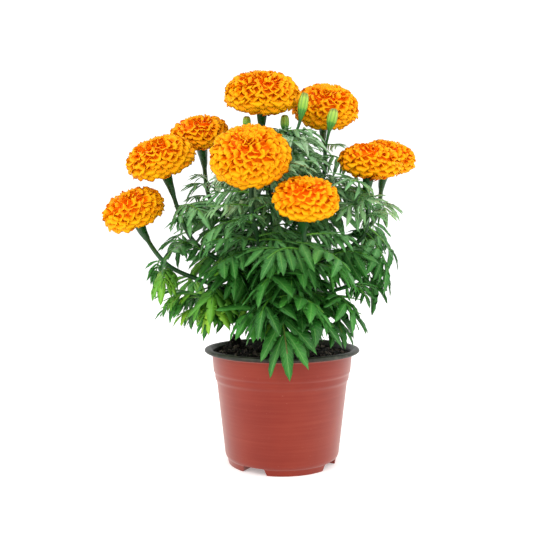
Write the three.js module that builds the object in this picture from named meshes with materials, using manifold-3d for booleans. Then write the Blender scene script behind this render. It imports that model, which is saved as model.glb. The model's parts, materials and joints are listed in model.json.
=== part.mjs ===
// A potted African marigold, in millimetres, +Z up.
// The origin is the centre of the pot's underside, on the surface that the pot stands on.
// +X is to the right and -Y is towards the front.
import * as THREE from 'three';
import { mergeVertices } from 'three/addons/utils/BufferGeometryUtils.js';
import Module from 'manifold-3d';

const wasm = await Module();
wasm.setup();

// ------------------------------------------------------------------ driving dimensions
const GAP = 0.3; // clearance kept between neighbouring pieces
const UP = new THREE.Vector3(0, 0, 1);

const POT = {
  height: 114,
  rimRadius: 77.5,
  wall: 1.3,
  floor: 1.5,
  footRadius: 53.8,
  segments: 32,
};
const CHANNEL = { count: 4, firstDeg: -30, width: 24, height: 6.5, innerRadius: 36 }; // between the feet
const DRAIN = { radius: 4, ringRadius: 45, segments: 8 };

const SOIL = { level: 107, lump: 1.4, stemHump: 3 };
const CLOD = { x: -49, y: 34, height: 13, spread: 6 };

const STEM_SIDES = 6;
const MAIN_STEM = {
  path: [[-15, 8, 60], [-14, 9, 112], [-8, 11, 160], [-11, 12, 214]],
  footRadius: 4.4,
  topRadius: 2.8,
};
const BRANCH = { rootRadius: 2.5, neckRadius: 2.4, tipRadius: 1.2, cupRadius: 6.3, neckAt: 0.66, cupAt: 0.69 };
const STALK = { radius: 1.1, seatRadius: 1.8, straight: 0.45 };

const PETAL = { count: 6, steps: 3, notch: 0.84, edge: 0.9, wander: 0.05 };
const BLOOM_SEAT_RADIUS = 6.6;
// From the seat up: reach and height of each tier's petal tips and of the fold above it, in bloom radii.
const BLOOM_TIERS = [
  { tip: [0.86, 0.2], fold: [0.78, 0.36] },
  { tip: [1.0, 0.5], fold: [0.86, 0.66] },
  { tip: [0.9, 0.8], fold: [0.68, 0.86] },
  { tip: [0.62, 1.0], fold: [0.3, 0.95] },
];
const BLOOM_CENTRE_HEIGHT = 0.58; // of the bloom's middle above its seat, in radii
const BLOOM_CROWN_HEIGHT = 0.98;

const BUD = { columns: 10, pleat: 0.1, profile: [[0.38, 0], [0.72, 0.24], [1, 0.48], [0.96, 0.76], [0.7, 0.96]] };

const LEAF = {
  thickness: 0.8,
  ribHalfWidth: 1.1,
  arch: 0.28,
  firstPair: 0.3,
  lastPair: 0.68,
  terminal: 0.76,
  baseShare: 0.05,
  leafletShare: 0.44,
  leafletHalfWidth: 0.16,
  leafletAngle: THREE.MathUtils.degToRad(52),
  leafletFold: THREE.MathUtils.degToRad(34), // how far the leaflets hang from the rib's own plane
  droop: 0.14,
};
// Ways to bend a leaf clear of its neighbours, tried in order: degrees round its root, then rise in mm.
const BENDS = [0, 9, -9, 18, -18, 27, -27, 36, -36].flatMap((turn) => [[turn, 0], [turn, 9], [turn, -9], [turn, 18]]);

// Blooms: middle, radius, and the way that the crown faces.
const BLOOMS = {
  top_centre: { middle: [-20, 10, 372], radius: 37, facing: [0.02, -0.5, 1] },
  top_right: { middle: [46, 35, 364], radius: 34, facing: [0.05, -0.8, 1] },
  back_left: { middle: [-87, 40, 336.5], radius: 30.5, facing: [-0.12, -0.5, 1] },
  left: { middle: [-121, -5, 305], radius: 34, facing: [-0.28, -0.5, 1] },
  far_left: { middle: [-146.5, -15, 253], radius: 30.5, facing: [-0.35, -0.55, 1] },
  big_centre: { middle: [-29, -75, 297.5], radius: 35.5, facing: [0, -1, 0.95] },
  centre_right: { middle: [20, -85, 258], radius: 29, facing: [0.05, -0.65, 1] },
  right_front: { middle: [86, -15, 299.5], radius: 30.5, facing: [0.08, -0.3, 1] },
  right_back: { middle: [113, 45, 312], radius: 29, facing: [0.15, -0.5, 1] },
};

// Leafy stems: height where each leaves the main stem, the first and last bend of its route, and its leaves.
// A leaf is [place along the stem, tip x, tip y, tip z, pairs of leaflets].
// A stem ends below the bloom of its own name, or at an end point of its own.
// A bud's stalk leaves the stem at a place along it and comes to the bud's seat the way that the bud leans.
const LEAFY_STEMS = {
  top_centre: {
    leaves: 210, bends: [[-10, 14, 260], [-20, 14, 320]],
    foliage: [[0.1, -66, 60, 220, 2], [0.16, 54, -46, 222, 2], [0.26, -64, -16, 254, 2], [0.32, 52, 26, 280, 2],
      [0.4, -44, 60, 288, 2], [0.46, 22, -28, 308, 2]],
    buds: [{ at: 0.5, seat: [-36, 22, 335], lean: [0, 0, 1], name: 'back' },
      { at: 0.55, seat: [3, 20, 331], lean: [0, 0, 1], name: 'centre' },
      { at: 0.42, seat: [18, -5, 340], lean: [0.18, 0, 1], name: 'tall' }],
  },
  top_right: {
    leaves: 186, bends: [[6, 24, 225], [44, 34, 290]],
    foliage: [[0.22, 40, 90, 212, 2], [0.32, 72, -28, 226, 2], [0.44, 94, 62, 256, 2], [0.52, 24, -24, 280, 2],
      [0.6, 80, 4, 278, 2]],
    buds: [{ at: 0.55, seat: [47, 2, 330], lean: [0.24, 0, 1], name: 'right' }],
  },
  back_left: {
    leaves: 176, bends: [[-30, 22, 215], [-74, 38, 262]],
    foliage: [[0.26, -40, 92, 196, 2], [0.36, -96, -14, 208, 2], [0.5, -116, 70, 228, 2], [0.56, -46, -12, 260, 2]],
  },
  left: {
    leaves: 158, bends: [[-45, 4, 190], [-88, -4, 220]],
    foliage: [[0.26, -42, -76, 176, 2], [0.36, -84, 66, 188, 2], [0.5, -116, -52, 190, 2], [0.54, -122, 36, 204, 2],
      [0.64, -66, -54, 232, 2]],
  },
  far_left: {
    leaves: 140, bends: [[-60, 0, 172], [-112, -12, 196]],
    foliage: [[0.26, -66, -78, 150, 2], [0.36, -100, 58, 162, 2], [0.5, -112, -64, 172, 2], [0.56, -132, 20, 172, 2]],
  },
  big_centre: {
    leaves: 168, bends: [[-18, -28, 205], [-28, -46, 240]],
    foliage: [[0.28, -78, -82, 176, 2], [0.36, 38, -90, 182, 2], [0.5, -86, -56, 218, 2], [0.54, 28, -74, 232, 2]],
  },
  centre_right: {
    leaves: 148, bends: [[8, -28, 182], [20, -62, 206]],
    foliage: [[0.28, -58, -88, 160, 3], [0.4, 72, -78, 158, 3], [0.52, -22, -124, 176, 2], [0.56, 66, -112, 180, 2]],
  },
  right_front: {
    leaves: 164, bends: [[30, 0, 195], [80, -10, 225]],
    foliage: [[0.26, 46, -80, 182, 2], [0.38, 68, 72, 192, 2], [0.52, 104, -52, 172, 2], [0.56, 102, 26, 204, 2],
      [0.64, 48, -60, 230, 2]],
  },
  right_back: {
    leaves: 174, bends: [[36, 24, 212], [96, 40, 240]],
    foliage: [[0.26, 30, 96, 196, 2], [0.42, 112, 62, 212, 2], [0.52, 104, 100, 212, 2], [0.62, 104, -4, 236, 2]],
  },
  front: {
    leaves: 126, bends: [[-8, -16, 146], [-6, -40, 162]], end: [-4, -58, 168],
    foliage: [[0.46, -54, -84, 138, 3], [0.56, 58, -82, 128, 3], [0.76, 6, -102, 100, 3], [0.86, -24, -122, 142, 2],
      [0.94, 44, -114, 146, 3]],
  },
  lower_left: {
    leaves: 120, bends: [[-30, -2, 140], [-60, -16, 160]], end: [-82, -26, 168],
    foliage: [[0.42, -66, -70, 148, 3], [0.5, -70, 60, 150, 3], [0.66, -96, -64, 152, 3], [0.8, -114, 8, 154, 3],
      [0.94, -122, -36, 156, 3]],
  },
  lower_right: {
    leaves: 124, bends: [[14, 2, 144], [44, -12, 168]], end: [72, -22, 178],
    foliage: [[0.42, 46, -80, 132, 3], [0.5, 70, 54, 148, 3], [0.66, 70, -70, 142, 3], [0.8, 96, 18, 166, 3],
      [0.94, 84, -44, 158, 3]],
  },
  back: {
    leaves: 130, bends: [[-10, 30, 155], [-4, 54, 180]], end: [2, 70, 190],
    foliage: [[0.42, -66, 76, 142, 3], [0.52, 62, 80, 142, 3], [0.68, -32, 114, 142, 2], [0.86, 42, 116, 154, 2]],
  },
};

// Buds: height and radius. Each stands on the stalk of its own name.
const BUDS = {
  back: { height: 13, radius: 4.2 },
  centre: { height: 18, radius: 4.6 },
  tall: { height: 26, radius: 5 },
  right: { height: 22, radius: 5.2 },
};

const COLOUR = {
  terracotta: 0xa84d3c,
  soil: 0x1c1815,
  stemFoot: 0x6e4a30,
  leaf: 0x3a7a34,
  petal: 0xffa010,
  bud: 0xa6c25a,
};

// ------------------------------------------------------------------ small helpers
const vector = (xyz) => new THREE.Vector3(...xyz);

// A linear congruential generator, so that every build draws the same numbers.
function seededRandom(seed) {
  let state = seed;
  return () => {
    state = (state * 1664525 + 1013904223) % 4294967296;
    return state / 4294967296;
  };
}

function geometryFrom(points, faces) {
  const geometry = new THREE.BufferGeometry();
  geometry.setAttribute('position', new THREE.Float32BufferAttribute(points.flatMap((p) => [p.x, p.y, p.z]), 3));
  geometry.setIndex(faces.flat());
  return geometry;
}

function solidFrom(geometry) {
  const bare = geometry.clone();
  bare.deleteAttribute('normal');
  bare.deleteAttribute('uv');
  const merged = mergeVertices(bare);
  return new wasm.Manifold(new wasm.Mesh({
    numProp: 3,
    vertProperties: new Float32Array(merged.attributes.position.array),
    triVerts: new Uint32Array(merged.index.array),
  }));
}

function geometryOf(solid) {
  const mesh = solid.getMesh();
  const geometry = new THREE.BufferGeometry();
  geometry.setAttribute('position', new THREE.BufferAttribute(mesh.vertProperties, 3));
  geometry.setIndex(new THREE.BufferAttribute(mesh.triVerts, 1));
  return geometry;
}

// Closes a stack of rings, each of the same number of points, with a point at the bottom and one at the top.
function closedRings(bottom, rings, top) {
  const columns = rings[0].length;
  const points = [bottom, ...rings.flat(), top];
  const topIndex = points.length - 1;
  const at = (ring, column) => 1 + ring * columns + (column % columns);
  const faces = [];
  for (let column = 0; column < columns; column += 1) {
    faces.push([0, at(0, column + 1), at(0, column)]);
    for (let ring = 0; ring < rings.length - 1; ring += 1) {
      faces.push([at(ring, column), at(ring, column + 1), at(ring + 1, column + 1)]);
      faces.push([at(ring, column), at(ring + 1, column + 1), at(ring + 1, column)]);
    }
    faces.push([topIndex, at(rings.length - 1, column), at(rings.length - 1, column + 1)]);
  }
  return geometryFrom(points, faces);
}

// A tube of changing radius along a curve, with flat closed ends. Each stop is [place along the curve, radius].
function taperedTube(curve, stops, sides) {
  const rings = [];
  let across = new THREE.Vector3(0, 1, 0);
  for (const [place, radius] of stops) {
    const middle = curve.getPoint(place);
    const along = curve.getTangent(place);
    across = across.clone().addScaledVector(along, -across.dot(along)).normalize();
    const third = along.clone().cross(across);
    rings.push(Array.from({ length: sides }, (_, side) => {
      const angle = (side / sides) * 2 * Math.PI;
      return middle.clone()
        .addScaledVector(across, radius * Math.cos(angle))
        .addScaledVector(third, radius * Math.sin(angle));
    }));
  }
  return closedRings(curve.getPoint(stops[0][0]), rings, curve.getPoint(stops.at(-1)[0]));
}

// Gives a sheet of triangles a thickness, half to each side along each point's normal.
function thicken(points, normals, faces, thickness) {
  const top = points.map((p, i) => p.clone().addScaledVector(normals[i], thickness / 2));
  const bottom = points.map((p, i) => p.clone().addScaledVector(normals[i], -thickness / 2));
  const under = (i) => i + points.length;
  const edges = faces.flatMap(([a, b, c]) => [[a, b], [b, c], [c, a]]);
  const known = new Set(edges.map(([a, b]) => `${a},${b}`));
  const rim = edges.filter(([a, b]) => !known.has(`${b},${a}`));
  const walls = rim.flatMap(([a, b]) => [[under(a), under(b), b], [under(a), b, a]]);
  const underside = faces.map(([a, b, c]) => [under(a), under(c), under(b)]);
  return geometryFrom([...top, ...bottom], [...faces, ...underside, ...walls]);
}

// ------------------------------------------------------------------ pot
function lathe(profile) {
  const points = profile.map(([r, z]) => new THREE.Vector2(r, z));
  return new THREE.LatheGeometry(points, POT.segments).rotateX(Math.PI / 2);
}

// The channels between the feet, each grown all round by the given amount.
function channels(grow) {
  const depth = POT.rimRadius - CHANNEL.innerRadius + grow;
  const blocks = [];
  for (let i = 0; i < CHANNEL.count; i += 1) {
    const bearing = THREE.MathUtils.degToRad(CHANNEL.firstDeg + (i * 360) / CHANNEL.count);
    const top = CHANNEL.height + grow;
    const block = new THREE.BoxGeometry(CHANNEL.width + 2 * grow, depth, 2 * top);
    block.translate(0, -(CHANNEL.innerRadius - grow + depth / 2), 0).rotateZ(bearing);
    blocks.push(solidFrom(block));
  }
  return blocks.reduce((joined, block) => joined.add(block));
}

function drainHoles() {
  const holes = [];
  for (let i = 0; i < CHANNEL.count; i += 1) {
    const bearing = THREE.MathUtils.degToRad(CHANNEL.firstDeg + (i * 360) / CHANNEL.count);
    const hole = new THREE.CylinderGeometry(DRAIN.radius, DRAIN.radius, 6 * CHANNEL.height, DRAIN.segments);
    hole.rotateX(Math.PI / 2).translate(0, -DRAIN.ringRadius, 0).rotateZ(bearing);
    holes.push(solidFrom(hole));
  }
  return holes.reduce((joined, hole) => joined.add(hole));
}

// The inner wall from the floor up, moved inwards by the given amount, as [radius, height] pairs.
function innerWall(inset) {
  const wall = [[56.9, 9], [65.2, 81], [67, 85.5], [69.7, 109]];
  return wall.map(([r, z]) => [r - POT.wall - inset, z]);
}

function potSolid() {
  const { height, rimRadius, footRadius, floor } = POT;
  const shell = solidFrom(lathe([
    [0, 0], [footRadius, 0], [55.6, 6.5], [56.9, 9], [65.2, 81], [66.9, 84.5], [67.1, 89], [68.4, 91.5],
    [70.1, height - 5.6], [rimRadius - 1.8, height - 4.2], [rimRadius, height - 2.6], [rimRadius - 0.9, height - 0.7],
    [rimRadius - 4, height], [0, height],
  ]));
  const cavity = solidFrom(lathe([
    [0, floor], [footRadius - 0.6, floor], ...innerWall(0), [69.5, height - 1.5], [71.4, height + 1], [0, height + 1],
  ]));
  return shell.subtract(channels(0)).subtract(cavity.subtract(channels(POT.wall))).subtract(drainHoles());
}

// ------------------------------------------------------------------ soil
function soilHeight(x, y) {
  const { level, lump, stemHump } = SOIL;
  const [stemX, stemY] = MAIN_STEM.path[1];
  const ripple = Math.sin(x * 0.19 + 1) * Math.cos(y * 0.23) + 0.6 * Math.sin(x * 0.41 - y * 0.33);
  const hump = stemHump * Math.exp(-((x - stemX) ** 2 + (y - stemY) ** 2) / 500);
  const clod = CLOD.height * Math.exp(-((x - CLOD.x) ** 2 + (y - CLOD.y) ** 2) / (2 * CLOD.spread ** 2));
  return level + lump * ripple + hump + clod;
}

function soilSolid() {
  const ring = (r, height) => Array.from({ length: POT.segments }, (_, i) => {
    const angle = (i / POT.segments) * 2 * Math.PI + Math.PI / 2;
    const x = r * Math.cos(angle);
    const y = r * Math.sin(angle);
    return new THREE.Vector3(x, y, height ?? soilHeight(x, y));
  });
  const side = innerWall(GAP).slice(0, -1).map(([r, z]) => ring(r, z));
  const surface = [67.3, 58, 47, 34, 18].map((r) => ring(r));
  const bottomHeight = POT.floor + GAP;
  const bottom = ring(POT.footRadius - 1.2, bottomHeight);
  const body = closedRings(
    new THREE.Vector3(0, 0, bottomHeight), [bottom, ...side, ...surface], new THREE.Vector3(0, 0, soilHeight(0, 0)),
  );
  return solidFrom(body).subtract(channels(POT.wall + GAP)).subtract(mainStemSolid(GAP));
}

// ------------------------------------------------------------------ stems
function mainStemPath(grow) {
  const points = MAIN_STEM.path.map(vector);
  points[0].z -= grow;
  points.at(-1).z += grow;
  return new THREE.CatmullRomCurve3(points);
}

const mainStemCurve = mainStemPath(0);

// The main stem, grown all round by the given amount.
function mainStemSolid(grow) {
  const { footRadius, topRadius } = MAIN_STEM;
  const stops = [0, 0.2, 0.36, 0.52, 0.68, 0.84, 1].map((place) => [
    place, THREE.MathUtils.lerp(footRadius, topRadius, place) + grow,
  ]);
  return solidFrom(taperedTube(mainStemPath(grow), stops, STEM_SIDES + 2));
}

// The point of the main stem at a height.
function mainStemPoint(height) {
  const [bottom, top] = [MAIN_STEM.path[0][2], MAIN_STEM.path.at(-1)[2]];
  let place = (height - bottom) / (top - bottom);
  for (let i = 0; i < 8; i += 1) {
    place += (height - mainStemCurve.getPoint(THREE.MathUtils.clamp(place, 0, 1)).z) / (top - bottom);
  }
  return mainStemCurve.getPoint(THREE.MathUtils.clamp(place, 0, 1));
}

// A bloom's seat is the flat spot below its middle, where the cup carries it.
function bloomSeat(name) {
  const { middle, radius, facing } = BLOOMS[name];
  return vector(middle).addScaledVector(vector(facing).normalize(), -BLOOM_CENTRE_HEIGHT * radius);
}

function stemCurve(name) {
  const { leaves, bends, end } = LEAFY_STEMS[name];
  const start = mainStemPoint(leaves);
  if (end) return new THREE.CatmullRomCurve3([start, ...bends.map(vector), vector(end)]);
  const facing = vector(BLOOMS[name].facing).normalize();
  const seat = bloomSeat(name);
  const neck = seat.clone().addScaledVector(facing, -14);
  return new THREE.CatmullRomCurve3([start, ...bends.map(vector), neck, seat.addScaledVector(facing, -GAP)]);
}

// The tube has a ring wherever a leaf or a stalk grows, so that each root sits on its middle line.
function stemTube(name, curve) {
  const { rootRadius, neckRadius, tipRadius, cupRadius, neckAt, cupAt } = BRANCH;
  const { foliage, buds = [], end } = LEAFY_STEMS[name];
  const nodes = [...foliage.map(([at]) => at), ...buds.map(({ at }) => at)];
  const bare = [...new Set([0, 0.08, ...nodes, neckAt])].sort((a, b) => a - b);
  const thinning = bare.map((place) => [place, THREE.MathUtils.lerp(rootRadius, neckRadius, place / neckAt)]);
  if (end) return taperedTube(curve, [...thinning.filter(([place]) => place < 1), [1, tipRadius]], STEM_SIDES);
  const cup = [0, 0.08, 0.2, 0.5, 1].map((share) => [
    THREE.MathUtils.lerp(cupAt, 1, share),
    THREE.MathUtils.lerp(neckRadius, cupRadius, Math.sqrt(share)),
  ]);
  return taperedTube(curve, [...thinning, ...cup], STEM_SIDES);
}

function stalkCurve(curve, { at, seat, lean }) {
  const start = curve.getPoint(at);
  const end = vector(seat);
  const below = end.clone().addScaledVector(vector(lean).normalize(), -STALK.straight * start.distanceTo(end));
  return new THREE.QuadraticBezierCurve3(start, below, end);
}

function stalkTube(curve, bud) {
  const stops = [[0, STALK.radius], [0.35, STALK.radius], [0.7, STALK.radius], [1, STALK.seatRadius]];
  return taperedTube(stalkCurve(curve, bud), stops, STEM_SIDES);
}

// ------------------------------------------------------------------ leaves
// One compound leaf as a thin arched blade, its outline cut to the rib between the leaflets.
function leafGeometry(root, tip, pairs, thickness) {
  const length = root.distanceTo(tip);
  const middle = root.clone().lerp(tip, 0.5).addScaledVector(UP, LEAF.arch * length);
  const rib = new THREE.QuadraticBezierCurve3(root, middle, tip);
  const right = tip.clone().sub(root).cross(UP).normalize();
  const points = [];
  const normals = [];
  const faces = [];

  function addPoint(place, forward, sideways, drop, lean = 0) {
    const along = rib.getTangent(place);
    const normal = right.clone().cross(along);
    points.push(rib.getPoint(place)
      .addScaledVector(along, forward).addScaledVector(right, sideways).addScaledVector(normal, -drop));
    normals.push(normal.clone().applyAxisAngle(along, lean));
    return points.length - 1;
  }
  function addStation(place) {
    const halfWidth = LEAF.ribHalfWidth;
    return { left: addPoint(place, 0, -halfWidth, 0), right: addPoint(place, 0, halfWidth, 0), place };
  }
  function addFace(side, ...corners) {
    faces.push(side > 0 ? corners : corners.reverse());
  }
  function joinStations(from, to) {
    faces.push([from.right, to.right, to.left], [from.right, to.left, from.left]);
  }
  function addLeaflet(from, to, side, size) {
    const halfWidth = size * LEAF.leafletHalfWidth;
    const [ahead, out] = [Math.cos(LEAF.leafletAngle), Math.sin(LEAF.leafletAngle)];
    const [level, hang] = [Math.cos(LEAF.leafletFold), Math.sin(LEAF.leafletFold)];
    const place = (from.place + to.place) / 2;
    const along = (share, across, drop) => {
      const outward = size * share * out + across * ahead;
      const sideways = side * (LEAF.ribHalfWidth + outward * level);
      return addPoint(
        place, size * share * ahead - across * out, sideways, outward * hang + drop, side * LEAF.leafletFold,
      );
    };
    const near = along(0.42, halfWidth, 0);
    const far = along(0.42, -halfWidth, 0);
    const point = along(1, 0, size * LEAF.droop);
    const [nearBase, farBase] = side > 0 ? [from.right, to.right] : [from.left, to.left];
    addFace(side, nearBase, near, far);
    addFace(side, nearBase, far, farBase);
    addFace(side, near, point, far);
  }
  function addTerminal(station) {
    const size = (1 - station.place) * length;
    const place = station.place + (1 - station.place) * 0.42;
    const halfWidth = size * LEAF.leafletHalfWidth * 1.25;
    const leftSide = addPoint(place, 0, -halfWidth, 0);
    const rightSide = addPoint(place, 0, halfWidth, 0);
    const point = addPoint(1, 0, 0, 0);
    faces.push([station.left, station.right, rightSide], [station.left, rightSide, leftSide]);
    faces.push([leftSide, rightSide, point]);
  }

  let last = addStation(0);
  for (let pair = 0; pair < pairs; pair += 1) {
    const place = THREE.MathUtils.lerp(LEAF.firstPair, LEAF.lastPair, pair / (pairs - 1));
    const from = addStation(place);
    const to = addStation(place + LEAF.baseShare);
    const size = length * LEAF.leafletShare * (1 - 0.12 * pair);
    joinStations(last, from);
    joinStations(from, to);
    addLeaflet(from, to, 1, size);
    addLeaflet(from, to, -1, size);
    last = to;
  }
  const terminal = addStation(LEAF.terminal);
  joinStations(last, terminal);
  addTerminal(terminal);
  return thicken(points, normals, faces, thickness);
}

function bentTip(root, tip, [turn, rise]) {
  return tip.clone().sub(root).applyAxisAngle(UP, THREE.MathUtils.degToRad(turn)).add(root).addScaledVector(UP, rise);
}

// Bends the leaf clear of every piece of the other nodes and gives the solid of the first free bend.
function clearLeaf(stem, curve, [at, x, y, z, pairs], placed) {
  const root = curve.getPoint(at);
  for (const bend of BENDS) {
    const tip = bentTip(root, new THREE.Vector3(x, y, z), bend);
    const hull = solidFrom(leafGeometry(root, tip, pairs, LEAF.thickness + 4 * GAP));
    const blocked = placed.some((piece) => piece.node !== stem && touches(hull, piece.solid));
    if (!blocked) return solidFrom(leafGeometry(root, tip, pairs, LEAF.thickness));
  }
  throw new Error(`no free bend for the leaf at ${at} of ${stem}`);
}

function touches(one, other) {
  const [a, b] = [one.boundingBox(), other.boundingBox()];
  const apart = [0, 1, 2].some((axis) => a.min[axis] > b.max[axis] || b.min[axis] > a.max[axis]);
  return !apart && !one.intersect(other).isEmpty();
}

// ------------------------------------------------------------------ blooms and buds
function bloomGeometry(radius, seed) {
  const random = seededRandom(seed);
  const columns = PETAL.count * PETAL.steps;
  const wander = () => 1 + PETAL.wander * (2 * random() - 1);
  const ring = (r, z, lift) => Array.from({ length: columns }, (_, column) => {
    const angle = (column / columns) * 2 * Math.PI;
    const reach = r(column);
    return new THREE.Vector3(reach * Math.cos(angle), reach * Math.sin(angle), z + lift(column));
  });
  const level = () => 0;
  const rings = [ring(() => BLOOM_SEAT_RADIUS, 0, level)];
  BLOOM_TIERS.forEach(({ tip, fold }, tier) => {
    const reaches = Array.from({ length: columns }, (_, column) => {
      const notched = (column + tier) % PETAL.steps === 0;
      return tip[0] * radius * (notched ? PETAL.notch : wander());
    });
    const ruffle = Array.from({ length: columns }, () => 0.05 * radius * (random() - 0.5));
    const reach = (column) => reaches[column];
    const wave = (column) => ruffle[column];
    rings.push(ring(reach, tip[1] * radius - PETAL.edge / 2, wave));
    rings.push(ring(reach, tip[1] * radius + PETAL.edge / 2, wave));
    rings.push(ring(() => fold[0] * radius, fold[1] * radius, level));
  });
  return closedRings(new THREE.Vector3(), rings, new THREE.Vector3(0, 0, BLOOM_CROWN_HEIGHT * radius));
}

function placedBloom(name, seed) {
  const { radius, facing } = BLOOMS[name];
  const turn = new THREE.Quaternion().setFromUnitVectors(UP, vector(facing).normalize());
  const seat = bloomSeat(name);
  return bloomGeometry(radius, seed).applyQuaternion(turn).translate(seat.x, seat.y, seat.z);
}

// A bud as tall and wide as given, standing on the end of its stalk.
function budGeometry({ height, radius }, stalk) {
  const rings = BUD.profile.map(([r, z]) => Array.from({ length: BUD.columns }, (_, column) => {
    const angle = (column / BUD.columns) * 2 * Math.PI;
    const reach = r * radius * (column % 2 ? 1 : 1 - BUD.pleat);
    return new THREE.Vector3(reach * Math.cos(angle), reach * Math.sin(angle), z * height);
  }));
  const turn = new THREE.Quaternion().setFromUnitVectors(UP, stalk.getTangent(1));
  const seat = stalk.getPoint(1).addScaledVector(stalk.getTangent(1), GAP);
  const bud = closedRings(new THREE.Vector3(), rings, new THREE.Vector3(0, 0, height));
  return bud.applyQuaternion(turn).translate(seat.x, seat.y, seat.z);
}

// ------------------------------------------------------------------ assembly
const plant = new THREE.Group();

function addNode(name, geometry, color, roughness) {
  const material = new THREE.MeshStandardMaterial({ color, roughness, metalness: 0 });
  const mesh = new THREE.Mesh(geometry, material);
  mesh.name = name;
  plant.add(mesh);
}

const pieces = [
  { node: 'pot', solid: potSolid(), color: COLOUR.terracotta, roughness: 0.45 },
  { node: 'soil', solid: soilSolid(), color: COLOUR.soil, roughness: 0.95 },
  { node: 'main_stem', solid: mainStemSolid(0), color: COLOUR.stemFoot, roughness: 0.7 },
];

Object.keys(BLOOMS).forEach((name, index) => {
  const solid = solidFrom(placedBloom(name, 11 + index));
  pieces.push({ node: `bloom_${name}`, solid, color: COLOUR.petal, roughness: 0.6 });
});

const stemHollow = mainStemSolid(GAP);
for (const [name, { buds = [] }] of Object.entries(LEAFY_STEMS)) {
  const curve = stemCurve(name);
  const stalks = buds.map((bud) => solidFrom(stalkTube(curve, bud)));
  const tube = solidFrom(stemTube(name, curve)).subtract(stemHollow);
  const solid = stalks.reduce((joined, stalk) => joined.add(stalk), tube);
  pieces.push({ node: `leafy_stem_${name}`, stem: name, solid, color: COLOUR.leaf, roughness: 0.6 });
  for (const bud of buds) {
    const head = solidFrom(budGeometry(BUDS[bud.name], stalkCurve(curve, bud)));
    pieces.push({ node: `bud_${bud.name}`, solid: head, color: COLOUR.bud, roughness: 0.6 });
  }
}

for (const piece of pieces.filter(({ stem }) => stem)) {
  const curve = stemCurve(piece.stem);
  for (const leaf of LEAFY_STEMS[piece.stem].foliage) {
    piece.solid = piece.solid.add(clearLeaf(piece.node, curve, leaf, pieces));
  }
}

for (const { node, solid, color, roughness } of pieces) {
  addNode(node, geometryOf(solid), color, roughness);
}

export default plant;
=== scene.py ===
# %% [markdown]
# # A potted African marigold
# The plant is a bush of branching stems with cut, drooping leaves and large double flower heads,
# in a thin plastic nursery pot. The solids of pot, soil, stems, heads and buds come in as a fixed
# frame. Each is then replaced by a finer mesh of the same form in the same place, with its own
# material. Lengths are written in millimetres and turned into metres where a mesh is made.

# %% Load the frame
import json
import math
import random

import bmesh
import bpy
from mathutils import Euler, Matrix, Vector, kdtree, noise

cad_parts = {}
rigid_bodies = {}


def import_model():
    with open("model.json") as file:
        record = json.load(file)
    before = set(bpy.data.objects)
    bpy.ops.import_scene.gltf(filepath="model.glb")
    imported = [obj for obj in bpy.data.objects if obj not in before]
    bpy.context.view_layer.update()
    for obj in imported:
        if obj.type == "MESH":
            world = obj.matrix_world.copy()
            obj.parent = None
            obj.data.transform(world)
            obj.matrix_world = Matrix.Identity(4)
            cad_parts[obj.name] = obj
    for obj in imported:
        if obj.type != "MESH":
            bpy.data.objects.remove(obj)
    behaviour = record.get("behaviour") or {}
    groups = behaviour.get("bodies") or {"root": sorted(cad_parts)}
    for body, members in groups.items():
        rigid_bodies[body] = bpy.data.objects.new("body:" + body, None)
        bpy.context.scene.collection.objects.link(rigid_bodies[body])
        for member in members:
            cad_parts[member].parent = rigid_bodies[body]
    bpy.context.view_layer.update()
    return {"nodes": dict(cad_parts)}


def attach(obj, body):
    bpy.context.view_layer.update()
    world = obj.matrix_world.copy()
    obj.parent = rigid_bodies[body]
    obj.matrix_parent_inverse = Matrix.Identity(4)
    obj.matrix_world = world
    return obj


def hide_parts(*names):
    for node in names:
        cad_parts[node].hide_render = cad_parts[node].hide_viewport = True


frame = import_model()
MM = 0.001
UP = Vector((0, 0, 1))
print("nodes:", len(frame["nodes"]))

# %% [markdown]
# ## Small tools
# Colours are picked as sRGB hex values, the way a paint chart gives them, and shaders want linear
# light. One function adds any node with its settings and inputs, and short ones after it name the
# kinds that come back most, so each material or tree below reads as a list.


# %% Colour and node helpers
def colour(code):
    """An sRGB hex value such as "C8102E" as linear red, green, blue and alpha."""
    parts = [int(code[i:i + 2], 16) / 255 for i in (0, 2, 4)]
    return [p / 12.92 if p <= 0.04045 else ((p + 0.055) / 1.055) ** 2.4 for p in parts] + [1.0]


def node(tree, kind, inputs=None, output=0, **settings):
    """Adds a node, applies its settings, fills inputs with values or links, and gives an output."""
    made = tree.nodes.new(kind)
    for name, value in settings.items():
        setattr(made, name, value)
    for socket, value in (inputs or {}).items():
        if isinstance(value, bpy.types.NodeSocket):
            tree.links.new(value, made.inputs[socket])
        else:
            made.inputs[socket].default_value = value
    return made.outputs[output] if made.outputs else None


def calc(tree, operation, *values):
    return node(tree, "ShaderNodeMath", dict(enumerate(values)), operation=operation)


def remap(tree, value, low, high, to_low=0.0, to_high=1.0):
    """A value between low and high as one between to_low and to_high, held at both ends."""
    return node(tree, "ShaderNodeMapRange", {0: value, 1: low, 2: high, 3: to_low, 4: to_high})


def height_of(tree, place):
    return node(tree, "ShaderNodeSeparateXYZ", {0: place}, 2)


# %% Material helpers
def new_material(name):
    """An empty material, its node tree, and the place on the object as an output."""
    material = bpy.data.materials.new(name)
    material.use_nodes = True
    tree = material.node_tree
    tree.nodes.clear()
    return material, tree, node(tree, "ShaderNodeTexCoord", output="Object")


def surface(tree, tint, rough, relief=None, ior=1.5, shine=0.5, **more):
    """Ends a material in one Principled surface."""
    looks = more | {"Base Color": tint, "Roughness": rough, "IOR": ior, "Specular IOR Level": shine}
    if relief:
        looks["Normal"] = relief
    shader = node(tree, "ShaderNodeBsdfPrincipled", looks)
    node(tree, "ShaderNodeOutputMaterial", {"Surface": shader})


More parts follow.
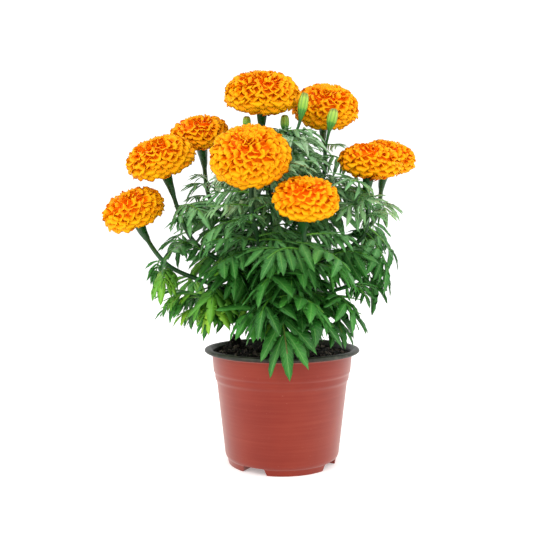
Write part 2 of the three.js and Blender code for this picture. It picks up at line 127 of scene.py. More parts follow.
def speckle(tree, place, scale, detail, **more):
    """Noise with this many spots in a metre, or with (x, y, z) of them where it is drawn out."""
    if isinstance(scale, tuple):
        place, scale = node(tree, "ShaderNodeMapping", {"Vector": place, "Scale": scale}), 1.0
    more |= {"Vector": place, "Scale": scale, "Detail": detail}
    return node(tree, "ShaderNodeTexNoise", more)


def mix(tree, share, first, second, blend="MIX"):
    return node(tree, "ShaderNodeMix", {0: share, 6: first, 7: second}, 2,
                data_type="RGBA", blend_type=blend)


def bump(tree, height, strength, depth):
    inputs = {"Height": height, "Strength": strength, "Distance": depth}
    return node(tree, "ShaderNodeBump", inputs)


def values_of(tree, *names):
    """The named values that a mesh carries on its points."""
    return [node(tree, "ShaderNodeAttribute", output="Fac", attribute_name=n) for n in names]


def ramp(tree, factor, stops):
    """A colour ramp through (place, hex) stops."""
    made = node(tree, "ShaderNodeValToRGB", {0: factor})
    elements = made.node.color_ramp.elements
    while len(elements) < len(stops):
        elements.new(1.0)
    for element, (place, code) in zip(elements, stops):
        element.position = place
        element.color = colour(code)
    return made


# %% Mesh helpers
def add_object(name, data):
    made = bpy.data.objects.new(name, data)
    bpy.context.collection.objects.link(made)
    return made


def smooth(mesh, degrees):
    mesh.polygons.foreach_set("use_smooth", [True] * len(mesh.polygons))
    mesh.set_sharp_from_angle(angle=math.radians(degrees))


def new_piece(name, points, faces, smooth_angle=60.0):
    """A mesh object from points in millimetres, standing at the origin."""
    mesh = bpy.data.meshes.new(name)
    mesh.from_pydata([Vector(p) * MM for p in points], [], faces)
    mesh.update()
    smooth(mesh, smooth_angle)
    return add_object(name, mesh)


def plain_mesh(piece):
    """Applies a piece's modifiers: the evaluated result becomes its own mesh."""
    graph = bpy.context.evaluated_depsgraph_get()
    graph.update()
    mesh = bpy.data.meshes.new_from_object(
        piece.evaluated_get(graph), preserve_all_data_layers=True, depsgraph=graph)
    mesh.name = piece.name
    piece.modifiers.clear()
    piece.data = mesh


def point_values(mesh, **named):
    """Writes one number or vector for each point of a mesh, under each name."""
    for name, values in named.items():
        kind = {float: "FLOAT", int: "INT"}.get(type(values[0]), "FLOAT_VECTOR")
        vectors = kind == "FLOAT_VECTOR"
        flat = [x for value in values for x in value] if vectors else values
        layer = mesh.attributes.new(name, kind, "POINT")
        layer.data.foreach_set("vector" if vectors else "value", flat)


def ring(radius, z, columns):
    angles = (2 * math.pi * c / columns for c in range(columns))
    return [(radius * math.cos(a), radius * math.sin(a), z) for a in angles]


def closed_rings(bottom, rings, top):
    """Points and faces of a stack of rings, closed by a point at each end."""
    columns = len(rings[0])
    points = [bottom] + [p for circle in rings for p in circle] + [top]
    faces = []
    for c in range(columns):
        after = (c + 1) % columns
        faces.append((0, 1 + after, 1 + c))
        for r in range(len(rings) - 1):
            low, high = 1 + r * columns, 1 + (r + 1) * columns
            faces.append((low + c, low + after, high + after, high + c))
        last = 1 + (len(rings) - 1) * columns
        faces.append((len(points) - 1, last + c, last + after))
    return points, faces


def between(stops, place):
    """Straight-line reading of (place, value) stops."""
    for (p0, v0), (p1, v1) in zip(stops, stops[1:]):
        if place <= p1:
            return v0 + (v1 - v0) * max(0.0, (place - p0) / (p1 - p0))
    return stops[-1][1]


# %% [markdown]
# ## The growth plan
# Every stem is one smooth curve from the main stem to a flower head or to a leafy tip, and every
# leaf is named by where it leaves its stem and where its tip hangs. The solids were grown from the
# same plan, so the finer stems and leaves land where theirs are. Each leaf was bent a little to
# clear its neighbours. Its bend is read back by looking for its tip among the solid's corners.

# %% The plan of heads, stems and leaves
HEADS = {  # middle, radius, and the way that the crown faces
    "top_centre": ((-20, 10, 372), 37, (0.02, -0.5, 1)),
    "top_right": ((46, 35, 364), 34, (0.05, -0.8, 1)),
    "back_left": ((-87, 40, 336.5), 30.5, (-0.12, -0.5, 1)),
    "left": ((-121, -5, 305), 34, (-0.28, -0.5, 1)),
    "far_left": ((-146.5, -15, 253), 30.5, (-0.35, -0.55, 1)),
    "big_centre": ((-29, -75, 297.5), 35.5, (0, -1, 0.95)),
    "centre_right": ((20, -85, 258), 29, (0.05, -0.65, 1)),
    "right_front": ((86, -15, 299.5), 30.5, (0.08, -0.3, 1)),
    "right_back": ((113, 45, 312), 29, (0.15, -0.5, 1)),
}
SEAT_DEPTH = 0.58  # a head's middle above its seat, in radii
# Height on the main stem, bends, end point if there is no head, and leaves: place and tip.
STEMS = {
    "top_centre": (210, [(-10, 14, 260), (-20, 14, 320)], None, [
        (0.1, -66, 60, 220), (0.16, 54, -46, 222), (0.26, -64, -16, 254), (0.32, 52, 26, 280),
        (0.4, -44, 60, 288), (0.46, 22, -28, 308)]),
    "top_right": (186, [(6, 24, 225), (44, 34, 290)], None, [
        (0.22, 40, 90, 212), (0.32, 72, -28, 226), (0.44, 94, 62, 256), (0.52, 24, -24, 280),
        (0.6, 80, 4, 278)]),
    "back_left": (176, [(-30, 22, 215), (-74, 38, 262)], None, [
        (0.26, -40, 92, 196), (0.36, -96, -14, 208), (0.5, -116, 70, 228), (0.56, -46, -12, 260)]),
    "left": (158, [(-45, 4, 190), (-88, -4, 220)], None, [
        (0.26, -42, -76, 176), (0.36, -84, 66, 188), (0.5, -116, -52, 190), (0.54, -122, 36, 204),
        (0.64, -66, -54, 232)]),
    "far_left": (140, [(-60, 0, 172), (-112, -12, 196)], None, [
        (0.26, -66, -78, 150), (0.36, -100, 58, 162), (0.5, -112, -64, 172),
        (0.56, -132, 20, 172)]),
    "big_centre": (168, [(-18, -28, 205), (-28, -46, 240)], None, [
        (0.28, -78, -82, 176), (0.36, 38, -90, 182), (0.5, -86, -56, 218), (0.54, 28, -74, 232)]),
    "centre_right": (148, [(8, -28, 182), (20, -62, 206)], None, [
        (0.28, -58, -88, 160), (0.4, 72, -78, 158), (0.52, -22, -124, 176), (0.56, 66, -112, 180)]),
    "right_front": (164, [(30, 0, 195), (80, -10, 225)], None, [
        (0.26, 46, -80, 182), (0.38, 68, 72, 192), (0.52, 104, -52, 172), (0.56, 102, 26, 204),
        (0.64, 48, -60, 230)]),
    "right_back": (174, [(36, 24, 212), (96, 40, 240)], None, [
        (0.26, 30, 96, 196), (0.42, 112, 62, 212), (0.52, 104, 100, 212), (0.62, 104, -4, 236)]),
    "front": (126, [(-8, -16, 146), (-6, -40, 162)], (-4, -58, 168), [
        (0.46, -54, -84, 138), (0.56, 58, -82, 128), (0.76, 6, -102, 100), (0.86, -24, -122, 142),
        (0.94, 44, -114, 146)]),
    "lower_left": (120, [(-30, -2, 140), (-60, -16, 160)], (-82, -26, 168), [
        (0.42, -66, -70, 148), (0.5, -70, 60, 150), (0.66, -96, -64, 152), (0.8, -114, 8, 154),
        (0.94, -122, -36, 156)]),
    "lower_right": (124, [(14, 2, 144), (44, -12, 168)], (72, -22, 178), [
        (0.42, 46, -80, 132), (0.5, 70, 54, 148), (0.66, 70, -70, 142), (0.8, 96, 18, 166),
        (0.94, 84, -44, 158)]),
    "back": (130, [(-10, 30, 155), (-4, 54, 180)], (2, 70, 190), [
        (0.42, -66, 76, 142), (0.52, 62, 80, 142), (0.68, -32, 114, 142), (0.86, 42, 116, 154)]),
}
BUDS = {  # the stem it grows on, where, where its base sits, the way it leans, height and radius
    "back": ("top_centre", 0.5, (-36, 22, 335), (0, 0, 1), 13, 4.2),
    "centre": ("top_centre", 0.55, (3, 20, 331), (0, 0, 1), 18, 4.6),
    "tall": ("top_centre", 0.42, (18, -5, 340), (0.18, 0, 1), 26, 5),
    "right": ("top_right", 0.55, (47, 2, 330), (0.24, 0, 1), 22, 5.2),
}
MAIN_PATH = [(-15, 8, 60), (-14, 9, 112), (-8, 11, 160), (-11, 12, 214)]
print("stems:", len(STEMS), "leaves:", sum(len(leaves) for *_, leaves in STEMS.values()))


# %% Curves of the plan
class Route:
    """A centripetal Catmull-Rom curve through points in millimetres, read at places 0 to 1."""

    def __init__(self, points):
        self.points = [Vector(p) for p in points]

    def point(self, place):
        points = self.points
        last = len(points) - 1
        span = min(max(place, 0.0), 1.0) * last
        i = min(int(span), last - 1)
        t = span - i
        p1, p2 = points[i], points[i + 1]
        p0 = points[i - 1] if i else 2 * p1 - p2
        p3 = points[i + 2] if i + 2 <= last else 2 * p2 - p1
        d0, d1, d2 = ((b - a).length ** 0.5 for a, b in ((p0, p1), (p1, p2), (p2, p3)))
        m1 = ((p1 - p0) / d0 - (p2 - p0) / (d0 + d1) + (p2 - p1) / d1) * d1
        m2 = ((p2 - p1) / d1 - (p3 - p1) / (d1 + d2) + (p3 - p2) / d2) * d1
        bend = 3 * (p2 - p1) - 2 * m1 - m2
        return p1 + m1 * t + bend * t ** 2 + (2 * (p1 - p2) + m1 + m2) * t ** 3


class Arch:
    """A quadratic Bezier curve from a start, towards a middle, to an end."""

    def __init__(self, *corners):
        self.corners = corners

    def point(self, place):
        a, b, c = self.corners
        return a * (1 - place) ** 2 + b * 2 * place * (1 - place) + c * place ** 2

    def tangent(self, place):
        a, b, c = self.corners
        return ((b - a) * (1 - place) + (c - b) * place).normalized()


main_stem = Route(MAIN_PATH)


def main_stem_at(height):
    """The point of the main stem at a height, by halving."""
    low, high = 0.0, 1.0
    for _ in range(30):
        middle = (low + high) / 2
        low, high = (middle, high) if main_stem.point(middle).z < height else (low, middle)
    return main_stem.point(low)


def head_seat(name):
    middle, radius, facing = HEADS[name]
    return Vector(middle) - Vector(facing).normalized() * SEAT_DEPTH * radius


NECK, GAP = 14, 0.3  # a stem runs straight at its head for so long, and ends so far short of it


def stem_route(name):
    """From the main stem to the end point, or straight up to the head along its neck."""
    height, bends, end, _ = STEMS[name]
    start = main_stem_at(height)
    if end:
        return Route([start, *bends, end])
    facing, seat = Vector(HEADS[name][2]).normalized(), head_seat(name)
    return Route([start, *bends, seat - facing * NECK, seat - facing * GAP])


routes = {name: stem_route(name) for name in STEMS}
print("highest stem end, mm:", round(max(route.point(1).z for route in routes.values())))

# %% Leaf ribs, bent as the solids are
LEAF_ARCH = 0.28
BLADE_THICKNESS = 0.8  # of the solids
SAME_CORNER = 0.02
BENDS = [(turn, rise) for turn in (0, 9, -9, 18, -18, 27, -27, 36, -36) for rise in (0, 9, -9, 18)]


def leaf_rib(root, tip, arch=LEAF_ARCH):
    return Arch(root, root.lerp(tip, 0.5) + UP * arch * (tip - root).length, tip)


def bent_tip(root, tip, turn, rise):
    turned_by = (tip - root).copy()
    turned_by.rotate(Euler((0, 0, math.radians(turn))))
    return root + turned_by + UP * rise


def corner_tree(node_name):
    """A search tree of the solid's corners, in millimetres."""
    vertices = frame["nodes"][node_name].data.vertices
    tree = kdtree.KDTree(len(vertices))
    for i, vertex in enumerate(vertices):
        tree.insert(vertex.co / MM, i)
    tree.balance()
    return tree


def grown_tip(corners, root, tip):
    """The tip after the bend whose corner is found in the solid."""
    for bend in BENDS:
        moved = bent_tip(root, tip, *bend)
        right = (moved - root).cross(UP).normalized()
        normal = right.cross(leaf_rib(root, moved).tangent(1))
        if corners.find(moved + normal * BLADE_THICKNESS / 2)[2] < SAME_CORNER:
            return moved
    print("no corner for a leaf tip at", [round(v) for v in tip])
    return tip


plan_leaves = {}  # stem name: its leaves as (root, tip)
for name, (_, _, _, leaves) in STEMS.items():
    corners = corner_tree(f"leafy_stem_{name}")
    plan_leaves[name] = []
    for place, *tip in leaves:
        root = routes[name].point(place)
        plan_leaves[name].append((root, grown_tip(corners, root, Vector(tip))))
print("leaves found:", sum(map(len, plan_leaves.values())))

# %% [markdown]
# ## Stage, light and camera
# A table of backlit white acrylic and a white surround stand for a light tent, in which nothing
# throws a hard shadow. Two large soft boxes give the pot its pale edges and the flower heads a
# bright side, and the surround fills in their shade. The camera looks almost level, from a little
# above the middle of the plant.

# %% Stage, light and camera
TABLE_HALF, TABLE_TOP, TABLE_GLOW, SURROUND_GLOW = 3000, -0.2, 0.3, 1.2
LIT_POINT = Vector((0, 0, 0.2))
CAMERA_DIP = 1.85  # degrees


def soft_box(name, place, size, watts):
    """A square area light at a place in metres, turned to the middle of the plant."""
    light = bpy.data.lights.new(name, "AREA")
    light.size, light.energy = size, watts
    lamp = add_object(name, light)
    lamp.location = place
    lamp.rotation_euler = (LIT_POINT - Vector(place)).to_track_quat("-Z", "Y").to_euler()


# Opal acrylic, lit from below: matt and shadowless, so that floor and surround run together.
acrylic, tree, place = new_material("backlit opal acrylic")
surface(tree, colour("F4F3F1"), remap(tree, speckle(tree, place, 900.0, 2.0), 0, 1, 0.8, 0.9),
        **{"Emission Color": colour("FFFFFF"), "Emission Strength": TABLE_GLOW})
corners = [Vector((x, y, 0)) * TABLE_HALF + UP * TABLE_TOP
           for x, y in ((-1, -1), (1, -1), (1, 1), (-1, 1))]
floor = new_piece("floor", corners, [(0, 1, 2, 3)])
floor.data.materials.append(acrylic)
scene = bpy.context.scene
scene.view_settings.view_transform = "Standard"
scene.world = bpy.data.worlds.new("white surround")
scene.world.use_nodes = True
background = scene.world.node_tree.nodes["Background"].inputs
background[0].default_value, background[1].default_value = (1, 1, 1, 1), SURROUND_GLOW
soft_box("left soft box", (-0.9, -0.8, 1.0), 0.8, 7)
soft_box("right soft box", (1.0, -0.3, 0.7), 0.7, 4)

camera = add_object("camera", bpy.data.cameras.new("camera"))
camera.data.sensor_width, camera.data.lens = 36, 44.51
camera.location = (-0.007, -0.680, 0.208)
camera.rotation_euler = (math.radians(90 - CAMERA_DIP), 0, 0)
scene.camera = camera
print("camera height above the floor, m:", camera.location.z)

# %% [markdown]
# ## The pot
# A nursery pot is injection moulded in two layers of polypropylene: terracotta outside, black
# inside and over the rolled lip. Such a form is a profile turned about an axis. The channels
# between its feet and the drain holes are cut from it with Boolean modifiers, which carry the
# cutters' own material onto the cut. Every corner of the profile is rounded a little first,
# because a moulded edge always catches a line of light.

# %% Plastic of the pot
# Moulded polypropylene: an even satin shine with faint turned lines and paler worn patches.
terracotta, tree, place = new_material("terracotta polypropylene")
patches = speckle(tree, place, 18.0, 3.0)
lines = speckle(tree, place, (14.0, 14.0, 500.0), 2.0)  # 70 mm long, and 2 mm apart up the side
specks = speckle(tree, place, 700.0, 2.0)  # dried soil and scuffs, 1 to 2 mm across
tint = ramp(tree, patches, [(0.3, "7A1C0A"), (0.5, "80200C"), (0.72, "862711")])
lined = mix(tree, remap(tree, lines, 0.4, 0.75, 0, 0.14), tint, colour("A64E3A"))
scuffed = mix(tree, remap(tree, specks, 0.7, 0.82, 0, 0.3), lined, colour("C08672"))
# Sheen stands for the milky cast of a satin mould, which shows where the wall turns away.
milky = {"Sheen Weight": 0.36, "Sheen Roughness": 0.5, "Sheen Tint": colour("FFF0EA")}
surface(tree, scuffed, remap(tree, patches, 0, 1, 0.34, 0.46), bump(tree, lines, 0.12, 0.0003),
        ior=1.49, shine=0.22, **milky)

# The inner layer: charcoal, dusty with dried peat. On the lip it is a lighter olive grey, partly
# dust and partly painted reflection of the light on the lip's top.
black_inside, tree, place = new_material("black polypropylene")
dust = speckle(tree, place, 160.0, 4.0)
lip = remap(tree, height_of(tree, place), 0.108, 0.1115)
wall = ramp(tree, dust, [(0.4, "0A0A08"), (0.75, "1E1C17")])
# Painted reflection with dust: the lip above 108 mm is lighter grey than the wall.
lip_dust_and_reflection = ramp(tree, dust, [(0.35, "1C1E16"), (0.55, "2E3025"), (0.75, "514F41")])
surface(tree, mix(tree, lip, wall, lip_dust_and_reflection), remap(tree, dust, 0, 1, 0.32, 0.6),
        bump(tree, dust, 0.2, 0.0004), ior=1.49, shine=0.25)
print("plastics:", terracotta.name, "and", black_inside.name)

# %% Profiles of the pot
POT_COLUMNS = 128
OUTSIDE = [(53.8, 0), (54.7, 5.6), (55.8, 6.5), (56.9, 9), (65.2, 81), (66.8, 84), (67.1, 89),
           (68.4, 91.3), (69.7, 106), (70.1, 108.4), (75.7, 109.8), (77.5, 111.4), (76.6, 113.3),
           (73.5, 114), (71.4, 113.4), (69.4, 111)]
WALL, FLOOR, LIP_HEIGHT = 1.3, 1.5, 109
INNER_WALL = [(56.9, 9), (65.2, 81), (67, 85.5), (69.7, 109)]
CAVITY = [(53.2, FLOOR), *((r - WALL, z) for r, z in INNER_WALL), (69.5, 112.5), (71.4, 115)]


def rounded(profile, share=0.3, most=1.6):
    """The profile with each inner corner replaced by five points of a small round."""
    profile = [Vector(p) for p in profile]
    soft = profile[:1]
    for before, corner, after in zip(profile, profile[1:], profile[2:]):
        start, end = (corner + (p - corner).normalized() * min(most, share * (p - corner).length)
                      for p in (before, after))
        for t in (0, 0.25, 0.5, 0.75, 1):
            soft.append(start.lerp(corner, t).lerp(corner.lerp(end, t), t))
    return soft + profile[-1:]


def turned(name, profile, materials, low=0.0):
    """A closed solid of revolution. A second material goes on the faces above the lip's edge."""
    rings = [ring(r, z, POT_COLUMNS) for r, z in profile]
    piece = new_piece(name, *closed_rings((0, 0, low), rings, (0, 0, profile[-1][1])), 50)
    for material in materials:
        piece.data.materials.append(material)
    if len(materials) > 1:
        for face in piece.data.polygons:
            face.material_index = int(face.center.z > LIP_HEIGHT * MM)
    return piece


def cutter(name, blocks, material):
    """Several boxes or rods, given as (points, faces), joined into one cutting piece."""
    points, faces = [], []
    for block_points, block_faces in blocks:
        faces += [tuple(i + len(points) for i in face) for face in block_faces]
        points += block_points
    piece = new_piece(name, points, faces)
    piece.data.materials.append(material)
    return piece


def cut(piece, *tools):
    for tool in tools:
        carve = piece.modifiers.new("cut", "BOOLEAN")
        carve.operation, carve.object, carve.material_mode = "DIFFERENCE", tool, "TRANSFER"
    plain_mesh(piece)
    for tool in tools:
        bpy.data.objects.remove(tool)


# %% Cutting the feet and the drain holes
CHANNEL_WIDTH, CHANNEL_HEIGHT, CHANNEL_START, CHANNEL_END = 24, 6.5, 36, 78
ROD_RADIUS, ROD_PLACE, ROD_HALF = 4, 45, 19
BEARINGS = [math.radians(-30 + 90 * i) for i in range(4)]


def channel_block(bearing, grow):
    """One channel between two feet, from inside the foot ring to beyond the rim, grown all round.

    It narrows upwards."""
    top, half, near = CHANNEL_HEIGHT + grow, CHANNEL_WIDTH / 2 + grow, -CHANNEL_START + grow
    turn = Matrix.Rotation(bearing, 3, "Z")
    points = [turn @ Vector((x * wide, y, z)) for z, wide in ((-top, half + 3.5), (top, half - 1))
              for x, y in ((-1, -CHANNEL_END), (1, -CHANNEL_END), (1, near), (-1, near))]
    sides = [(i, (i + 1) % 4, (i + 1) % 4 + 4, i + 4) for i in range(4)]
    return points, [(3, 2, 1, 0), (4, 5, 6, 7), *sides]


def drain_rod(bearing):
    middle = Matrix.Rotation(bearing, 3, "Z") @ Vector((0, -ROD_PLACE, 0))
    rings = [[middle + Vector(p) for p in ring(ROD_RADIUS, z, 24)] for z in (-ROD_HALF, ROD_HALF)]
    return closed_rings(middle - UP * ROD_HALF, rings, middle + UP * ROD_HALF)


hollow = turned("hollow", rounded(CAVITY), [black_inside], low=FLOOR)
cut(hollow, cutter("raised floor", [channel_block(b, WALL) for b in BEARINGS], black_inside))
pot = turned("pot_body", rounded(OUTSIDE), [terracotta, black_inside])
cut(pot, cutter("channels", [channel_block(b, 0) for b in BEARINGS], terracotta), hollow,
    cutter("drain rods", [drain_rod(b) for b in BEARINGS], black_inside))
smooth(pot.data, 40)
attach(pot, "root")
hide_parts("pot")
print("pot faces:", len(pot.data.polygons), "materials:", [m.name for m in pot.data.materials])

# %% [markdown]
# ## Stems
# A marigold's stems are ribbed lengthwise, green and thick where they join, and swell into a bell
# under each flower head. All of them follow a route and only their thickness changes, so one tree
# of Geometry Nodes makes them all: a chain of points becomes a curve, takes its radius from an
# attribute, and a small ribbed outline is swept along it. Leaf ribs and bud stalks are thinner
# chains in the same mesh.

# %% Green skin of the stems
# Living stem: waxy, blotched dark and pale, and reddish brown where the old stem is woody.
stem_green, tree, place = new_material("ribbed green stem")
blotches = speckle(tree, place, (300.0, 300.0, 90.0), 3.0)  # drawn out along the upright stems
tone, = values_of(tree, "tone")
green = ramp(tree, tone, [(0.0, "114A16"), (0.5, "2C7A26"), (1.0, "7CB440")])
mottled = mix(tree, blotches, green, colour("1B4A1C"), "SOFT_LIGHT")
woody = ramp(tree, blotches, [(0.35, "4A2A1C"), (0.55, "7A4A30"), (0.7, "8C6A48")])
foot = remap(tree, height_of(tree, place), 0.118, 0.15, 1.0, 0.0)
surface(tree, mix(tree, foot, mottled, woody), 0.42, bump(tree, blotches, 0.3, 0.0003), ior=1.45)
print("stem finish:", stem_green.name)


# %% Helpers for trees that make geometry
def new_tree(name, **takes):
    """A Geometry Nodes tree with these named inputs and a finish, and its inputs' sockets."""
    tree = bpy.data.node_groups.new(name, "GeometryNodeTree")
    for label, kind in (takes | {"Finish": "Material"}).items():
        tree.interface.new_socket(label, in_out="INPUT", socket_type="NodeSocket" + kind)
    tree.interface.new_socket("Result", in_out="OUTPUT", socket_type="NodeSocketGeometry")
    return tree, node(tree, "NodeGroupInput").node.outputs


def finish_tree(tree, given, grown, base=None):
    """Ends a tree: what has grown is made real, joined to its base, and takes the finish."""
    whole = node(tree, "GeometryNodeRealizeInstances", {0: grown})
    if base:
        whole = node(tree, "GeometryNodeJoinGeometry", {0: whole})
        tree.links.new(base, whole.node.inputs[0])
    done = node(tree, "GeometryNodeSetMaterial", {"Geometry": whole, "Material": given["Finish"]})
    node(tree, "NodeGroupOutput", {0: done})
    return tree


def carried(tree, name, kind="FLOAT"):
    """The named value that the points carry."""
    return node(tree, "GeometryNodeInputNamedAttribute", {"Name": name}, data_type=kind)


def grow(piece, tree, **values):
    """Runs a tree on a piece, with inputs set by their identifiers, and keeps the plain mesh."""
    modifier = piece.modifiers.new(tree.name, "NODES")
    modifier.node_group = tree
    for item in tree.interface.items_tree:
        if item.name in values:
            modifier[item.identifier] = values.pop(item.name)
    assert not values, f"no such inputs: {list(values)}"
    plain_mesh(piece)


def points_piece(name, points, links, **named):
    """A piece of bare points in millimetres for a tree to grow on, with named values."""
    mesh = bpy.data.meshes.new(name)
    mesh.from_pydata([p * MM for p in points], links, [])
    point_values(mesh, **named)
    return add_object(name, mesh)


# %% The tree that sweeps a ribbed stem
tree, given = new_tree("ribbed stems", Chains="Geometry", Ribs="Int", Groove="Float")
curve = node(tree, "GeometryNodeMeshToCurve", {"Mesh": given["Chains"]})
radius = carried(tree, "thickness")
thick = node(tree, "GeometryNodeSetCurveRadius", {"Curve": curve, "Radius": radius})
inner = calc(tree, "SUBTRACT", 1.0, given["Groove"])
outline = node(tree, "GeometryNodeCurveStar", {
    "Points": given["Ribs"], "Inner Radius": inner, "Outer Radius": 1.0})
swept = node(tree, "GeometryNodeCurveToMesh", {
    "Curve": thick, "Profile Curve": outline, "Scale": radius, "Fill Caps": True})
ribbed_stems = finish_tree(tree, given, swept)
print("stem tree nodes:", len(ribbed_stems.nodes))


# %% The main stem
def stem_piece(name, chains, ribs=6, groove=0.1):
    """Sweeps chains, each given as route, (place, radius) stops, tone, end place and steps."""
    points, links, thickness, tones = [], [], [], []
    for route, radii, tone, end, steps in chains:
        links += [(len(points) + i, len(points) + i + 1) for i in range(steps)]
        for place in (end * i / steps for i in range(steps + 1)):
            points.append(route.point(place))
            thickness.append(between(radii, place) * MM)
            tones.append(tone)
    piece = points_piece(name, points, links, thickness=thickness, tone=tones)
    grow(piece, ribbed_stems, Ribs=ribs, Groove=groove, Finish=stem_green)
    smooth(piece.data, 70)
    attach(piece, "root")
    return piece


trunk = (main_stem, [(0, 4.4), (0.3, 3.9), (1, 2.8)], 0.5, 1.0, 40)
main_piece = stem_piece("main_stem_ribbed", [trunk], ribs=8, groove=0.08)
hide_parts("main_stem")
print("main stem faces:", len(main_piece.data.polygons), "size, mm:",
      [round(d / MM, 1) for d in main_piece.dimensions])

# %% [markdown]
# ## Leaves
# A leaf is a feather: a rib with leaflets in pairs and one at its end. Each leaflet is a folded,
# saw-edged blade that hangs a little from the rib. The thousands of them differ only in size, turn
# and tone, so three blades are made one by one, and Geometry Nodes put one of them on every point
# of a cloud that holds those differences. A blade's top and underside meet along its edge, so it is
# a closed lens and not a bare sheet.

# %% Leaf finish
# Satin green with a pale midrib and slanting side veins. Some blades are painted yellow-lime, for
# light shining through them from behind, and high up on the plant the leaves are painted pale grey,
# for the whitish sheen of light on them.
SIDE_VEINS, VEIN_SLANT = 9, -0.22
leaf_green, tree, place = new_material("marigold leaf")
along, across, tone = values_of(tree, "along", "across", "tone")
mottle = speckle(tree, place, 260.0, 3.0)
side = calc(tree, "ABSOLUTE", across)
slant = calc(tree, "MULTIPLY_ADD", side, VEIN_SLANT, along)
wave = calc(tree, "SINE", calc(tree, "MULTIPLY", slant, SIDE_VEINS * 2 * math.pi))
veins = remap(tree, wave, 0.75, 1.0, 0, 0.3)
lines = calc(tree, "MAXIMUM", veins, remap(tree, side, 0.02, 0.12, 0.5, 0.0))
# The lime at the top of the tone ramp is painted backlight.
green = ramp(tree, tone, [(0.0, "2A6C26"), (0.35, "3A8632"), (0.65, "54A442"), (0.85, "86C03C"),
                          (1.0, "AED444")])
# Painted sheen: a pale grey green for the whitish light on the upper leaves.
painted_sheen_grey = ramp(tree, tone, [(0.0, "6CAA68"), (0.45, "9CC896"), (0.8, "C4DCBE"), (1.0, "D8E8D2")])
# From 190 mm up the leaves turn towards the painted sheen grey.
high = remap(tree, height_of(tree, place), 0.19, 0.27, 0, 0.92)
mottled = mix(tree, mottle, mix(tree, high, green, painted_sheen_grey), colour("24552A"), "SOFT_LIGHT")
quilt = calc(tree, "MULTIPLY_ADD", lines, -1.0, mottle)
surface(tree, mix(tree, lines, mottled, colour("7FAE62")), 0.45, bump(tree, quilt, 0.5, 0.0004),
        ior=1.42, shine=0.4)
print("leaf finish:", leaf_green.name)


# %% Three blades
def shape(name, points, faces, **named):
    """A shape for a tree to pick, kept out of the scene, with named values on its points."""
    mesh = bpy.data.meshes.new(name)
    mesh.from_pydata(points, [], faces)
    point_values(mesh, **named)
    mesh.polygons.foreach_set("use_smooth", [True] * len(mesh.polygons))
    return bpy.data.objects.new(name, mesh)


def shape_set(name, shapes):
    """The collection of shapes that a tree picks from."""
    made = bpy.data.collections.new(name)
    for each in shapes:
        made.objects.link(each)
    return made


TEETH, TOOTH_OUT, TOOTH_IN, TOOTH_LEAN, BLADE_LENS = 5, 1.02, 0.95, 0.025, 0.006


def blade(name, fold, curl, wave, seed):
    """A leaflet of unit length along X and unit half-width along Y.

    It is folded on its midrib, and its tip curls down."""
    draw = random.Random(seed)
    rows = 2 * TEETH
    points, along, across = [(0.0, 0.0, 0.0)], [0.0], [0.0]
    for face in (1, -1):
        for row in range(1, rows + 1):
            x = row / (rows + 1)
            width = math.sin(math.pi * x ** 0.8) ** 0.8 * (TOOTH_OUT if row % 2 else TOOTH_IN)
            for y in (-1, 0, 1) if face > 0 else (0,):
                ripple = wave * math.sin(2 * math.pi * (x * 1.5 + 0.3 * y + draw.random() * 0.08))
                lean = x + (TOOTH_LEAN if y and row % 2 else 0.0)
                thick = 0.0 if y else BLADE_LENS * face
                rise = -curl * x * x + abs(y) * (fold * width + ripple) + thick
                points.append((lean, y * width, rise))
                along.append(lean)
                across.append(float(y))
    points.append((1.0, 0.0, -curl))
    along.append(1.0)
    across.append(0.0)
    left, mid, right = ([1 + 3 * r + c for r in range(rows)] for c in range(3))
    under = [1 + 3 * rows + r for r in range(rows)]
    tip = len(points) - 1
    faces = []
    for edge, turn in ((left, -1), (right, 1)):
        for middle, up in ((mid, 1), (under, -1)):
            chain, rim = [0, *middle, tip], [0, *edge, tip]
            for r in range(rows + 1):
                face = list(dict.fromkeys([chain[r], rim[r], rim[r + 1], chain[r + 1]]))
                faces.append(face[::-1] if turn * up > 0 else face)
    return shape(name, points, faces, along=along, across=across)


blades = shape_set("blades", [
    blade("blade_1", 0.05, 0.18, 0.014, 1), blade("blade_2", 0.07, 0.3, 0.02, 2),
    blade("blade_3", 0.04, 0.08, 0.018, 3)])


# %% The tree that puts leaflets on points
def vector_calc(tree, operation, first, second):
    socket = "Scale" if operation == "SCALE" else 1
    return node(tree, "ShaderNodeVectorMath", {0: first, socket: second}, operation=operation)


def rotation(tree, angles):
    return node(tree, "FunctionNodeEulerToRotation", {0: angles})


def place_shapes(tree, points, shapes, pick, turn, size):
    """Puts on every point the shape that its pick numbers."""
    each = node(tree, "GeometryNodeCollectionInfo", {
        "Collection": shapes, "Separate Children": True, "Reset Children": True})
    return node(tree, "GeometryNodeInstanceOnPoints", {
        "Points": points, "Instance": each, "Pick Instance": True, "Instance Index": pick,
        "Rotation": turn, "Scale": size})


tree, given = new_tree("leaflets on points", Points="Geometry", Blades="Collection", Size="Float")
turn, size = carried(tree, "turn", "FLOAT_VECTOR"), carried(tree, "size", "FLOAT_VECTOR")
size = vector_calc(tree, "SCALE", size, given["Size"])
placed = place_shapes(tree, given["Points"], given["Blades"], carried(tree, "pick", "INT"),
                      rotation(tree, turn), size)
leaflets_on_points = finish_tree(tree, given, placed)
print("leaflet tree nodes:", len(leaflets_on_points.nodes))


# %% Growing a leaf
LEAFLET_ANGLE, LEAFLET_FOLD = math.radians(60), math.radians(16)
FIRST_PAIR, PAIRED, END_LEAFLET = 0.24, 0.36, 0.62  # in lengths of the rib
RIB_RADII = [(0, 1.0), (0.35, 0.75), (1, 0.3)]
RIB_TONE, RIB_END, RIB_STEPS = 0.72, 0.8, 8
draw = random.Random(278)


